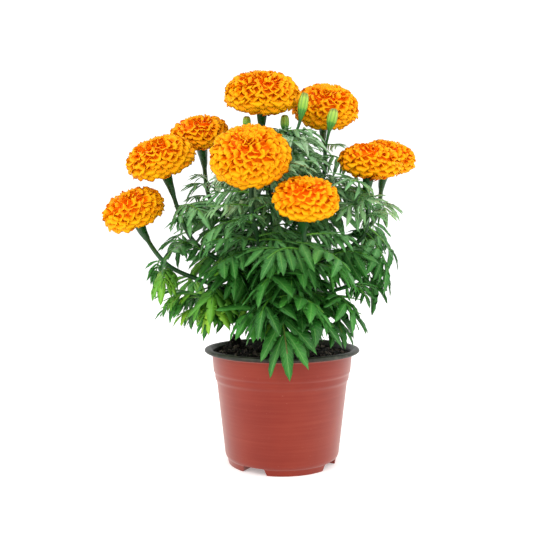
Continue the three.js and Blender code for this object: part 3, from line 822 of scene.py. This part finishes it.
def grow_leaf(chains, leaflets, rib, pairs, span, width, tone, droop):
    """One leaf: its rib joins the chains, and its leaflets are added as place, turn, size, pick
    and tone.

    Span is a leaflet's length over the leaf's, width is half a leaflet's breadth over its length,
    and droop is how far its weight bends it down."""
    root, tip = rib.point(0), rib.point(1)
    reach = tip - root
    roll = Matrix.Rotation(math.radians(draw.uniform(-30, 30)), 3, reach)
    right = roll @ reach.cross(UP).normalized()
    chains.append((rib, RIB_RADII, RIB_TONE + 0.2 * draw.random(), RIB_END, RIB_STEPS))

    def add_leaflet(place, forward, upward, size):
        """A leaflet whose X axis runs forward and whose Z axis lies nearest upward."""
        forward = (forward.normalized() - UP * droop * draw.uniform(0.5, 1.3)).normalized()
        side = upward.cross(forward).normalized()
        turn = Matrix((forward, side, forward.cross(side))).transposed().to_euler()
        leaflets.append((rib.point(place), turn, (size, size * width, size), draw.randrange(3),
                         min(1.0, max(0.0, tone + draw.uniform(-0.13, 0.13)))))

    for pair in range(pairs):
        for side in (1, -1):
            share = (pair + 0.2 * (side > 0)) / (pairs - 0.8)
            place = FIRST_PAIR + PAIRED * share
            along = rib.tangent(place)
            normal = right.cross(along)
            angle = LEAFLET_ANGLE + math.radians(draw.uniform(-12, 12)) - 0.3 * share
            fold = LEAFLET_FOLD + math.radians(draw.uniform(-20, 20))
            out = right * side * math.cos(fold) - normal * math.sin(fold)
            upward = normal * math.cos(fold) + right * side * math.sin(fold)
            size = reach.length * span * (0.84 + 0.2 * math.sin(math.pi * (0.15 + 0.7 * share)))
            add_leaflet(place, along * math.cos(angle) + out * math.sin(angle), upward,
                        size * draw.uniform(0.86, 1.06))
    # The end leaflet runs on from the rib to the very tip.
    rest = tip - rib.point(END_LEAFLET)
    add_leaflet(END_LEAFLET, rest, right.cross(rest), rest.length * draw.uniform(0.95, 1.0))


print("leaflets fold by, degrees:", round(math.degrees(LEAFLET_FOLD)))

# %% Filling the crown with leaves
# Heights of the leafy crown, and there how far it reaches left, right, and to front and back.
CROWN = [(122, -2, 42, 48), (136, -14, 50, 74), (146, -60, 60, 86), (158, -104, 78, 98),
         (190, -118, 108, 104), (220, -117, 102, 102), (250, -110, 104, 98), (285, -92, 94, 84),
         (310, -44, 70, 62), (328, -14, 40, 34)]
LEAF_SPACING = [(200, 28), (225, 22), (265, 20)]  # least distance between two tips, by height
STRAYS = [  # leaves that stand out of the crown: stem, place and tip
    ("right_front", 0.5, (113, -6, 166)), ("right_front", 0.56, (121, -4, 194)),
    ("right_front", 0.45, (101, 24, 148)), ("lower_left", 0.86, (-130, -18, 146)),
    ("lower_left", 0.7, (-112, -30, 140)), ("lower_left", 0.95, (-128, 10, 170)),
    ("lower_left", 0.75, (-104, 6, 138)), ("lower_right", 0.6, (60, -60, 122)),
    ("top_right", 0.66, (26, 30, 322)), ("top_right", 0.66, (66, 20, 316)),
    ("top_centre", 0.62, (6, 2, 326)), ("back_left", 0.62, (-92, 16, 288))]
STEM_AXIS = Vector((-10, 8))
SHORTEST, LONGEST, WANTED_LOW, WANTED_HIGH, HIGH = 32, 92, 70, 50, 215  # lengths, and a height
HEAD_MARGIN, FRONT_MARGIN = 1.3, 1.2  # in radii of a head
# Where leaves may root, in lengths of a shoot or of a branch, which stays bare below its head.
FIRST_ROOT, SHOOT_SPAN, BRANCH_SPAN, ROOT_STEPS = 0.1, 0.9, 0.68, 24
HANG, HANG_WEIGHT, WORST = 4, 0.8, 60.0  # how far below its root a tip is best, and its cost
HOLLOW = 0.12  # the square of the share of the crown's reach in which no leaf ends
TRIES = 6000


def clear_of_heads(point):
    """Whether a point is well away from every flower head, and not in front of one."""
    for middle, radius, _ in HEADS.values():
        away = point - Vector(middle)
        in_front = away.y < 0 and math.hypot(away.x, away.z) < FRONT_MARGIN * radius
        if away.length < HEAD_MARGIN * radius or in_front:
            return False
    return True


def crown_point():
    """A random point of the crown, more often near its outside than in its middle."""
    z = draw.uniform(CROWN[0][0], CROWN[-1][0])
    left, right, depth = (between([(stop[0], stop[i]) for stop in CROWN], z) for i in (1, 2, 3))
    bearing, reach = draw.uniform(0, 2 * math.pi), math.sqrt(draw.uniform(HOLLOW, 1.0))
    x = (left + right) / 2 + (right - left) / 2 * reach * math.cos(bearing)
    return Vector((x, depth * reach * math.sin(bearing), z))


def nearest_root(tip):
    """The stem and its point that suit a tip best: near, further in, and at about its height."""
    best, least = None, WORST
    wanted = WANTED_LOW if tip.z < HIGH else WANTED_HIGH
    outside = (tip.xy - STEM_AXIS).length
    for name, root in roots:
        away = tip - root
        near = SHORTEST < away.length < LONGEST
        cost = abs(away.length - wanted) + abs(away.z + HANG) * HANG_WEIGHT
        if near and (root.xy - STEM_AXIS).length <= outside and cost < least:
            best, least = (name, root), cost
    return best


roots = []
for name, (_, _, end, _) in STEMS.items():
    span = SHOOT_SPAN if end else BRANCH_SPAN
    places = (FIRST_ROOT + span * i / ROOT_STEPS for i in range(ROOT_STEPS + 1))
    roots += [(name, routes[name].point(place)) for place in places]
tips = [tip for leaves in plan_leaves.values() for _, tip in leaves]
fill_leaves = {name: [] for name in STEMS}
for name, place, tip in STRAYS:
    tips.append(Vector(tip))
    fill_leaves[name].append((routes[name].point(place), Vector(tip)))
for _ in range(TRIES):
    tip = crown_point()
    crowded = min((tip - other).length for other in tips) < between(LEAF_SPACING, tip.z)
    found = None if crowded or not clear_of_heads(tip) else nearest_root(tip)
    if found:
        tips.append(tip)
        fill_leaves[found[0]].append((found[1], tip))
print("leaves that fill the crown:", sum(map(len, fill_leaves.values())))

# %% Leafy stems
BRANCH_RADII = [(0, 2.5), (0.66, 2.4), (0.69, 2.4), (0.715, 3.5), (0.75, 4.15), (0.845, 5.15),
                (1, 6.25)]
SHOOT_RADII = [(0, 2.5), (0.9, 2.0), (1, 1.2)]
STALK_RADII = [(0, 1.1), (0.7, 1.1), (1, 1.8)]
LOW, BACKLIT_TONES = 165, (0.7, 0.95)  # height below which leaves are heavy, and tones painted on leaves as if lit from behind


def stalk_arch(stem, place, seat, lean):
    """A bud's stalk: it leaves its stem and comes to the bud's seat the way that the bud leans."""
    start, end = routes[stem].point(place), Vector(seat)
    return Arch(start, end - Vector(lean).normalized() * 0.45 * (end - start).length, end)


def habit(tip):
    """How a leaf grows by where its tip hangs: pairs, span, width, tone and droop."""
    high = min(1.0, max(0.0, (tip.z - 190) / 80))
    low_left, low_right = tip.z < LOW and tip.x < -60, tip.z < LOW and tip.x > 40
    # Higher leaves may take a higher tone, which paints them paler, for the light on the top of the
    # plant.
    tone = draw.uniform(0.15, 0.6) + 0.4 * high * draw.random()
    # Most leaves low on the left, and a few further back, take the lime tone of painted backlight.
    if draw.random() < (0.6 if low_left else 0.08 if tip.y > -60 else 0.0):
        tone = draw.uniform(*BACKLIT_TONES)
    more = [draw.random() < chance for chance in (0.3, 2 * high - 0.6, 0.8 * high)]
    heavy = 0.15 if low_left else -0.1 if low_right else 0.0
    span = 0.5 - 0.08 * high - (0.08 if not -105 < tip.x < 75 and tip.z < 180 else 0.0)
    droop = (heavy + draw.uniform(0.0, 0.35)) * (1 - 0.7 * high)
    return 3 + sum(more), span, 0.145 - 0.055 * high, tone, droop


def leaves_piece(name, leaflets):
    places, turns, sizes, picks, tones = zip(*leaflets)
    piece = points_piece(name, places, [], turn=turns, size=sizes, pick=picks, tone=tones)
    grow(piece, leaflets_on_points, Blades=blades, Size=MM, Finish=leaf_green)
    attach(piece, "root")
    return piece


for name, (_, _, end, _) in STEMS.items():
    radii, tone = (SHOOT_RADII, 0.35) if end else (BRANCH_RADII, 0.12)
    chains, leaflets = [(routes[name], radii, tone, 1.0, 60)], []
    for stem, *stalk, _, _ in BUDS.values():
        if stem == name:
            chains.append((stalk_arch(stem, *stalk), STALK_RADII, 0.3, 1.0, 24))
    ribs = [leaf_rib(root, tip) for root, tip in plan_leaves[name]]
    ribs += [leaf_rib(root, tip, draw.uniform(0.08, 0.24)) for root, tip in fill_leaves[name]]
    for rib in ribs:
        grow_leaf(chains, leaflets, rib, *habit(rib.point(1)))
    for piece in (stem_piece(f"stem_{name}", chains), leaves_piece(f"leaves_{name}", leaflets)):
        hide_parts(f"leafy_stem_{name}")
    print(name, "leaves:", len(ribs), "leaflets:", len(leaflets))

# %% [markdown]
# ## Soil
# Potting mix is black peat with grey-brown crumbs and fibres on top. The bed is a relief of rings
# and spokes, lumpy at three scales, on a plain plug that fills the pot. Loose crumbs are then
# scattered over it with Geometry Nodes, which spread points on the upward faces, and a ragged clod
# leans near the back rim.

# %% Peat
# Black and damp, quite matt, with grains of 1 to 3 mm and drier grey-brown crumbs.
peat, tree, place = new_material("potting peat")
grains = speckle(tree, place, 420.0, 5.0, Roughness=0.7)
dark = ramp(tree, grains, [(0.42, "040403"), (0.55, "16120F"), (0.66, "41362D"), (0.76, "74675A")])
tone, = values_of(tree, "tone")
tint = mix(tree, remap(tree, tone, 0.4, 0.95, 0, 0.95), dark, colour("6A5F55"))
surface(tree, tint, 0.92, bump(tree, grains, 0.8, 0.001), shine=0.25)
print("soil finish:", peat.name)

# %% Bed of soil
SOIL_COLUMNS, SOIL_RINGS, SOIL_RADIUS, SOIL_FOOT, SOIL_LEVEL = 150, 56, 67.6, 10, 107
PLUG = [(55.3, SOIL_FOOT), (63.6, 81), (65.3, 85.5), (67.1, 101)]
LUMPS = [(9, 1.6), (3.5, 1.3), (1.6, 0.7)]  # breadth and height


def soil_height(x, y):
    """The solid's own relief: ripples, a hump round the stem and a clod. Then the lumps."""
    ripple = math.sin(x * 0.19 + 1) * math.cos(y * 0.23) + 0.6 * math.sin(x * 0.41 - y * 0.33)
    hump = 3 * math.exp(-((x + 14) ** 2 + (y - 9) ** 2) / 500)
    clod = 13 * math.exp(-((x + 49) ** 2 + (y - 34) ** 2) / (2 * 6 ** 2))
    lumps = sum(noise.noise(Vector((x, y, 7)) / size) * high for size, high in LUMPS)
    ragged = 1 + 0.12 * noise.noise(Vector((x, y, 3)) / 2.2) * clod
    return SOIL_LEVEL + 1.4 * ripple + hump + clod * ragged + lumps


soil_rings = [ring(r, z, SOIL_COLUMNS) for r, z in PLUG]
for i in range(SOIL_RINGS):
    circle = ring(SOIL_RADIUS * (1 - i / SOIL_RINGS), 0, SOIL_COLUMNS)
    soil_rings.append([(x, y, soil_height(x, y)) for x, y, _ in circle])
soil_middle = (0, 0, soil_height(0, 0))
soil = new_piece("soil_bed", *closed_rings((0, 0, SOIL_FOOT), soil_rings, soil_middle), 80)
point_values(soil.data, tone=[0.0] * len(soil.data.vertices))
soil.data.materials.append(peat)
print("soil bed faces:", len(soil.data.polygons))


# %% Crumbs on the soil
def crumb(name, seed):
    """A lump of 20 faces, pushed out of round."""
    rough = bmesh.new()
    bmesh.ops.create_icosphere(rough, subdivisions=1, radius=0.5)
    pull = random.Random(seed)
    for vertex in rough.verts:
        vertex.co *= pull.uniform(0.65, 1.35)
    mesh = bpy.data.meshes.new(name)
    rough.to_mesh(mesh)
    rough.free()
    return bpy.data.objects.new(name, mesh)


def chance(tree, low, high, seed, kind="FLOAT"):
    """A random value between low and high for each point or instance."""
    first, output = {"FLOAT_VECTOR": (0, 0), "FLOAT": (2, 1), "INT": (4, 2)}[kind]
    inputs = {first: low, first + 1: high, "Seed": seed}
    return node(tree, "FunctionNodeRandomValue", inputs, output, data_type=kind)


def with_tone(tree, instances, tone):
    inputs = {"Geometry": instances, "Name": "tone", "Value": tone}
    return node(tree, "GeometryNodeStoreNamedAttribute", inputs, domain="INSTANCE")


BED_EDGE, LEAST_UP, FULL_TURN = 0.1015, 0.2, 6.28
tree, given = new_tree("crumbs on soil", Bed="Geometry", Crumbs="Collection", Density="Float",
                       Smallest="Float", Largest="Float", Seed="Int")
bed, seed = given["Bed"], given["Seed"]
upward = height_of(tree, node(tree, "GeometryNodeInputNormal"))
height = height_of(tree, node(tree, "GeometryNodeInputPosition"))
inside = calc(tree, "GREATER_THAN", height, BED_EDGE)
level = calc(tree, "GREATER_THAN", upward, LEAST_UP)
chosen = node(tree, "FunctionNodeBooleanMath", {0: inside, 1: level}, operation="AND")
points = node(tree, "GeometryNodeDistributePointsOnFaces", {
    "Mesh": bed, "Selection": chosen, "Density": given["Density"], "Seed": seed})
# Most crumbs are small: the cube of an even chance is rarely near one.
rare = calc(tree, "POWER", chance(tree, 0.0, 1.0, seed), 3.0)
size = remap(tree, rare, 0, 1, given["Smallest"], given["Largest"])
turn = chance(tree, (0, 0, 0), (FULL_TURN,) * 3, seed, "FLOAT_VECTOR")
pick = chance(tree, 0, 3, seed, "INT")
placed = place_shapes(tree, points, given["Crumbs"], pick, turn, size)
dried = with_tone(tree, placed, chance(tree, 0.0, 1.0, 9))
crumbs_on_soil = finish_tree(tree, given, dried, bed)

crumbs = shape_set("crumbs", [crumb(f"crumb_{i}", 40 + i) for i in range(4)])
grow(soil, crumbs_on_soil, Crumbs=crumbs, Density=90000.0, Smallest=0.0012, Largest=0.0046,
     Seed=4, Finish=peat)
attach(soil, "root")
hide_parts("soil")
print("soil faces with crumbs:", len(soil.data.polygons))

# %% [markdown]
# ## Flower heads
# A double marigold is a dome of a few hundred florets packed in a golden-angle spiral: each is set
# 137.5 degrees round from the one before. Near the crown they are short funnels that leave dark
# pits, and down the sides they widen into ruffled tongues that reach out and curl over. On the
# underside the last ones lie flat and radiate from the cup. The rule is the shape, so Geometry
# Nodes follow it: the number of a point gives its turn, its fall from the crown, its tilt and its
# size, and one of twelve petals, made one by one, is picked for it.

# %% Petal finish
# Soft and matt like chamois: orange yellow along the ruffled edge, and a deeper, redder orange
# towards the petal's foot, partly its own colour and partly painted shade of the folds and pits.
# Fine furrows run up the petal, ten across its width.
petal_orange, tree, place = new_material("marigold petal")
reach, tone, across = values_of(tree, "reach", "tone", "across")
furrows = calc(tree, "SINE", calc(tree, "MULTIPLY", across, 10 * math.pi))
shifted = calc(tree, "MULTIPLY_ADD", tone, 0.16, reach)
warmed = calc(tree, "MULTIPLY_ADD", speckle(tree, place, 300.0, 2.0), 0.12, shifted)
# Low reach, at the foot of each petal and on the core, gives the deep red orange that is partly
# painted shade.
tint = ramp(tree, warmed, [(0.06, "E25400"), (0.3, "FF8000"), (0.5, "FF9200"), (0.76, "FF9C00"),
                           (1.04, "FFAE00")])
surface(tree, tint, 0.6, bump(tree, furrows, 0.25, 0.0002), ior=1.4, shine=0.15)
print("petal finish:", petal_orange.name)

# %% Twelve petals
PETAL_ROWS, PETAL_COLUMNS = (0.0, 0.5, 0.7, 0.87, 1.0), 9
PETAL_FOOT, PETAL_LENS, STRAIGHT = 0.04, 0.004, 0.5
# Length, half its width, how far it bends over, how deep its ruffles are, and its sideways roll.
PETAL_KINDS = {"funnel": (0.44, 0.19, 75, 0.035, 60), "ruffle": (0.48, 0.22, 92, 0.04, 50),
               "tongue": (0.52, 0.25, 100, 0.03, 34), "back": (0.5, 0.25, 25, 0.02, 30)}


def petal(name, seed, kind):
    """A petal for a head of unit radius, its tip at the origin.

    It stands along Z, Y is its width, and its back faces X, away from the crown."""
    draw = random.Random(seed)
    length, half, bend, ruffle, roll = PETAL_KINDS[kind]
    bend, roll = math.radians(bend), math.radians(roll)
    waves, phase, lobes = draw.uniform(0.9, 1.5), draw.uniform(0, 6.3), draw.uniform(0, 6.3)
    straight = STRAIGHT * length
    radius = straight / bend
    points, reach, across = [], [], []
    middle, last = PETAL_COLUMNS // 2, len(PETAL_ROWS) - 1
    for face in (1, -1):
        for row, s in enumerate(PETAL_ROWS):
            for column in range(PETAL_COLUMNS):
                u = (column - middle) / middle
                on_rim = abs(u) == 1 or row in (0, last)
                if on_rim and face < 0:
                    continue
                # Across, the petal is an arc that opens towards the crown. Along, its outer half
                # bends over, and the ruffles stand off it along its own normal. The end of each
                # ruffle is a rounded lobe.
                width = PETAL_FOOT + (half - PETAL_FOOT) * s ** 0.9
                arc, bow = u * roll, width / roll
                edge = 0.05 * math.cos(2 * math.pi * waves * u + lobes) - 0.26 * u ** 4
                bent = max(0.0, s * (1 + s ** 4 * edge) - STRAIGHT) * length
                angle = bend * bent / straight
                lens = 0.0 if on_rim else PETAL_LENS * face
                off = ruffle * s ** 2 * math.sin(math.pi * waves * u + phase) + lens
                x = radius * (1 - math.cos(angle)) - bow * (1 - math.cos(arc))
                z = min(s, STRAIGHT) * length + radius * math.sin(angle)
                points.append((x + off * math.cos(angle), bow * math.sin(arc),
                               z - off * math.sin(angle) - straight - radius * math.sin(bend)))
                reach.append(s)
                across.append(u)

    def sheet(face, row, column):
        """The number of a point of the front, or of the back, which shares the front's rim."""
        if face > 0 or row in (0, last) or column in (0, PETAL_COLUMNS - 1):
            return row * PETAL_COLUMNS + column
        front = len(PETAL_ROWS) * PETAL_COLUMNS
        return front + (row - 1) * (PETAL_COLUMNS - 2) + column - 1

    faces = []
    for row in range(last):
        for column in range(PETAL_COLUMNS - 1):
            around = [(row, column), (row, column + 1), (row + 1, column + 1), (row + 1, column)]
            for face in (1, -1):
                faces.append([sheet(face, *corner) for corner in around[::face]])
    return shape(name, points, faces, reach=reach, across=across)


petals = shape_set("petals", [petal(f"petal_{i:02}", 60 + i, kind) for i, kind in enumerate(
    kind for kind in PETAL_KINDS for _ in range(3))])

# %% The tree that packs a flower head
GOLDEN_ANGLE = math.radians(137.508)
KIND_EDGES = (0.6, 1.5, 1.96)  # falls at which ruffles, tongues and back petals start, in radians
UNDERSIDE = (1.93, 2.43)


def vector(tree, x=0.0, y=0.0, z=0.0):
    return node(tree, "ShaderNodeCombineXYZ", {0: x, 1: y, 2: z})


# A head of the given radius in metres, standing on its seat at the origin with its crown up.
tree, given = new_tree("marigold head", Core="Geometry", Petals="Collection", Count="Int",
                       Radius="Float", Middle="Float", Rise="Float", Lowest="Float", Seed="Int")
index, seed = node(tree, "GeometryNodeInputIndex"), given["Seed"]
turn = calc(tree, "MULTIPLY", index, GOLDEN_ANGLE)
eased = calc(tree, "POWER", calc(tree, "DIVIDE", index, given["Count"]), 0.92)
fall = calc(tree, "MULTIPLY_ADD", eased, given["Lowest"], chance(tree, -0.05, 0.05, 5))
# Where the petal's tip is: a unit arrow, turned down from the crown and round, then stretched to
# the dome.
out = rotation(tree, vector(tree, y=fall, z=turn))
arrow = node(tree, "FunctionNodeRotateVector", {0: (0, 0, 1), 1: out})
tip = vector_calc(tree, "MULTIPLY", arrow, vector(tree, 0.97, 0.97, given["Rise"]))
lifted = vector_calc(tree, "ADD", tip, vector(tree, z=given["Middle"]))
place = vector_calc(tree, "SCALE", lifted, given["Radius"])
points = node(tree, "GeometryNodePoints", {"Count": given["Count"], "Position": place})
# How the petal stands: tilted a little less than its place, then twisted about itself. On the
# underside it tilts less still, and lies outwards and up from the cup.
leaning = calc(tree, "MULTIPLY", fall, 0.86)
tilt = calc(tree, "MULTIPLY_ADD", remap(tree, fall, *UNDERSIDE), -0.9, leaning)
looseness = remap(tree, fall, 0.3, 1.2, 1.6, 0.25)
twist = calc(tree, "MULTIPLY", chance(tree, -1.0, 1.0, seed), looseness)
sway = chance(tree, (-0.14, -0.14, 0), (0.14, 0.14, 0), seed, "FLOAT_VECTOR")
swayed = rotation(tree, vector_calc(tree, "ADD", sway, vector(tree, z=twist)))
stand = rotation(tree, vector(tree, y=tilt, z=turn))
stand = node(tree, "FunctionNodeRotateRotation", {"Rotation": stand, "Rotate By": swayed},
             rotation_space="LOCAL")
growth = remap(tree, fall, 0.15, 1.2, 0.56, 1.12)
grown = calc(tree, "MULTIPLY", growth, chance(tree, 0.84, 1.1, 3))
size = calc(tree, "MULTIPLY", grown, given["Radius"])
# Three shapes of each kind: funnels on the crown, then ruffles, tongues and flat backs.
first, second, third = (calc(tree, "GREATER_THAN", fall, edge) for edge in KIND_EDGES)
kind = calc(tree, "ADD", calc(tree, "ADD", first, second), third)
pick = calc(tree, "MULTIPLY_ADD", kind, 3.0, chance(tree, 0, 2, seed, "INT"))
placed = place_shapes(tree, points, given["Petals"], pick, stand, size)
toned = with_tone(tree, placed, chance(tree, -1.0, 1.0, seed))
marigold_head = finish_tree(tree, given, toned, given["Core"])
print("head tree nodes:", len(marigold_head.nodes))

# %% Nine flower heads
# The core under the petals: radius and height of its rings in head radii, and the reach that its
# colour reads, lowest at the top for the deep orange of painted shade under the crown's pits.
# The first ring is in millimetres: it stays 5 mm wide at the seat.
CORE = [(5, 0.4, 0.45), (0.42, 0.14, 0.45), (0.72, 0.3, 0.45), (0.83, 0.5, 0.4), (0.76, 0.7, 0.35),
        (0.54, 0.83, 0.25), (0.2, 0.88, 0.15)]
CORE_COLUMNS = 20
PETALS_AT_36_MM = 251


def head_piece(name, seed):
    """A head grown upright on its core, then turned to face its own way and set on its seat."""
    _, radius, facing = HEADS[name]
    scales = [1.0] + [radius] * (len(CORE) - 1)
    rings = [ring(r * k, z * k, CORE_COLUMNS) for (r, z, _), k in zip(CORE, scales)]
    piece = new_piece(f"head_{name}", *closed_rings((0, 0, 0.2), rings, (0, 0, 0.89 * radius)))
    depths = [depth for _, _, depth in CORE for _ in range(CORE_COLUMNS)]
    point_values(piece.data, reach=[depths[0], *depths, depths[-1]])
    grow(piece, marigold_head, Petals=petals, Count=round(PETALS_AT_36_MM * (radius / 36) ** 2),
         Radius=radius * MM, Middle=0.52, Rise=0.54, Lowest=math.radians(138), Seed=seed,
         Finish=petal_orange)
    turn = UP.rotation_difference(Vector(facing).normalized()).to_matrix().to_4x4()
    piece.data.transform(Matrix.Translation(head_seat(name) * MM) @ turn)
    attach(piece, "root")
    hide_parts(f"bloom_{name}")
    return piece


for seed, name in enumerate(HEADS, 20):
    head = head_piece(name, seed)
    print(head.name, "faces:", len(head.data.polygons),
          "size, mm:", [round(d / MM) for d in head.dimensions])

# %% [markdown]
# ## Buds
# A bud is a barrel of green bracts, fused and ribbed, dark at its foot and yellow-green towards its
# toothed top, where the first petals press together. Its ribs and its taper are one formula of
# angle and height, so its rings are written straight into a mesh.

# %% Bud finish
# Fused bracts: smooth and a little waxy, with pale ribs, dark furrows and a lighter top.
bud_green, tree, place = new_material("marigold bud")
along, across = values_of(tree, "along", "across")
mottle = speckle(tree, place, 500.0, 3.0)
level = calc(tree, "MULTIPLY_ADD", mottle, 0.14, along)
body = ramp(tree, level, [(0.1, "2F7A22"), (0.4, "4C9630"), (0.5, "8CC03E"), (0.88, "A8CC4E"),
                          (1.0, "8A9A3C")])
furrow = ramp(tree, level, [(0.1, "226018"), (0.4, "347A24"), (0.5, "62A032"), (0.88, "74A038"),
                            (1.0, "5E6E2A")])
surface(tree, mix(tree, across, furrow, body), 0.45, bump(tree, mottle, 0.2, 0.0002), ior=1.42)
print("bud finish:", bud_green.name)

# %% Four buds
BUD_SHAPE = [(0, 0.36), (0.1, 0.5), (0.24, 0.71), (0.36, 0.88), (0.48, 0.99), (0.62, 1),
             (0.76, 0.95), (0.88, 0.84), (0.95, 0.7), (0.99, 0.45)]
BUD_COLUMNS, BUD_RIBS, RIB_DEPTH, TOOTH_HEIGHT = 48, 8, 0.08, 0.05


def bud_piece(name):
    *stalk_facts, height, radius = BUDS[name]
    stalk = stalk_arch(*stalk_facts)
    axis = stalk.tangent(1)
    foot = stalk.point(1) + axis * GAP
    turn = UP.rotation_difference(axis).to_matrix()
    rings, along, across = [], [0.0], [0.0]
    for z, r in BUD_SHAPE:
        rings.append([])
        for c, (x, y, _) in enumerate(ring(1.0, 0, BUD_COLUMNS)):
            rib = abs(math.cos(math.pi * c / BUD_COLUMNS * BUD_RIBS))
            reach = radius * r * (1 - RIB_DEPTH + RIB_DEPTH * rib ** 0.7)
            tooth = TOOTH_HEIGHT * rib * max(0.0, z - 0.8) / 0.2
            level = (z - 0.03 + tooth * 0.6) * height
            rings[-1].append(foot + turn @ Vector((reach * x, reach * y, level)))
            along.append(z)
            across.append(rib)
    ends = foot, foot + axis * height * 0.96
    piece = new_piece(f"bud_{name}_ribbed", *closed_rings(ends[0], rings, ends[1]))
    point_values(piece.data, along=[*along, 1.0], across=[*across, 0.0])
    piece.data.materials.append(bud_green)
    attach(piece, "root")
    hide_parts(f"bud_{name}")
    return piece


for name, (*_, height, radius) in BUDS.items():
    print(bud_piece(name).name, "height and breadth, mm:", height, 2 * radius)

# %% [markdown]
# ## Finish
# The shapes that the trees picked from are no longer needed. The finished plant has to keep to
# the size of its solids.

# %% Finish
for kept in (blades, crumbs, petals):
    for each in list(kept.objects):
        bpy.data.objects.remove(each)
    bpy.data.collections.remove(kept)
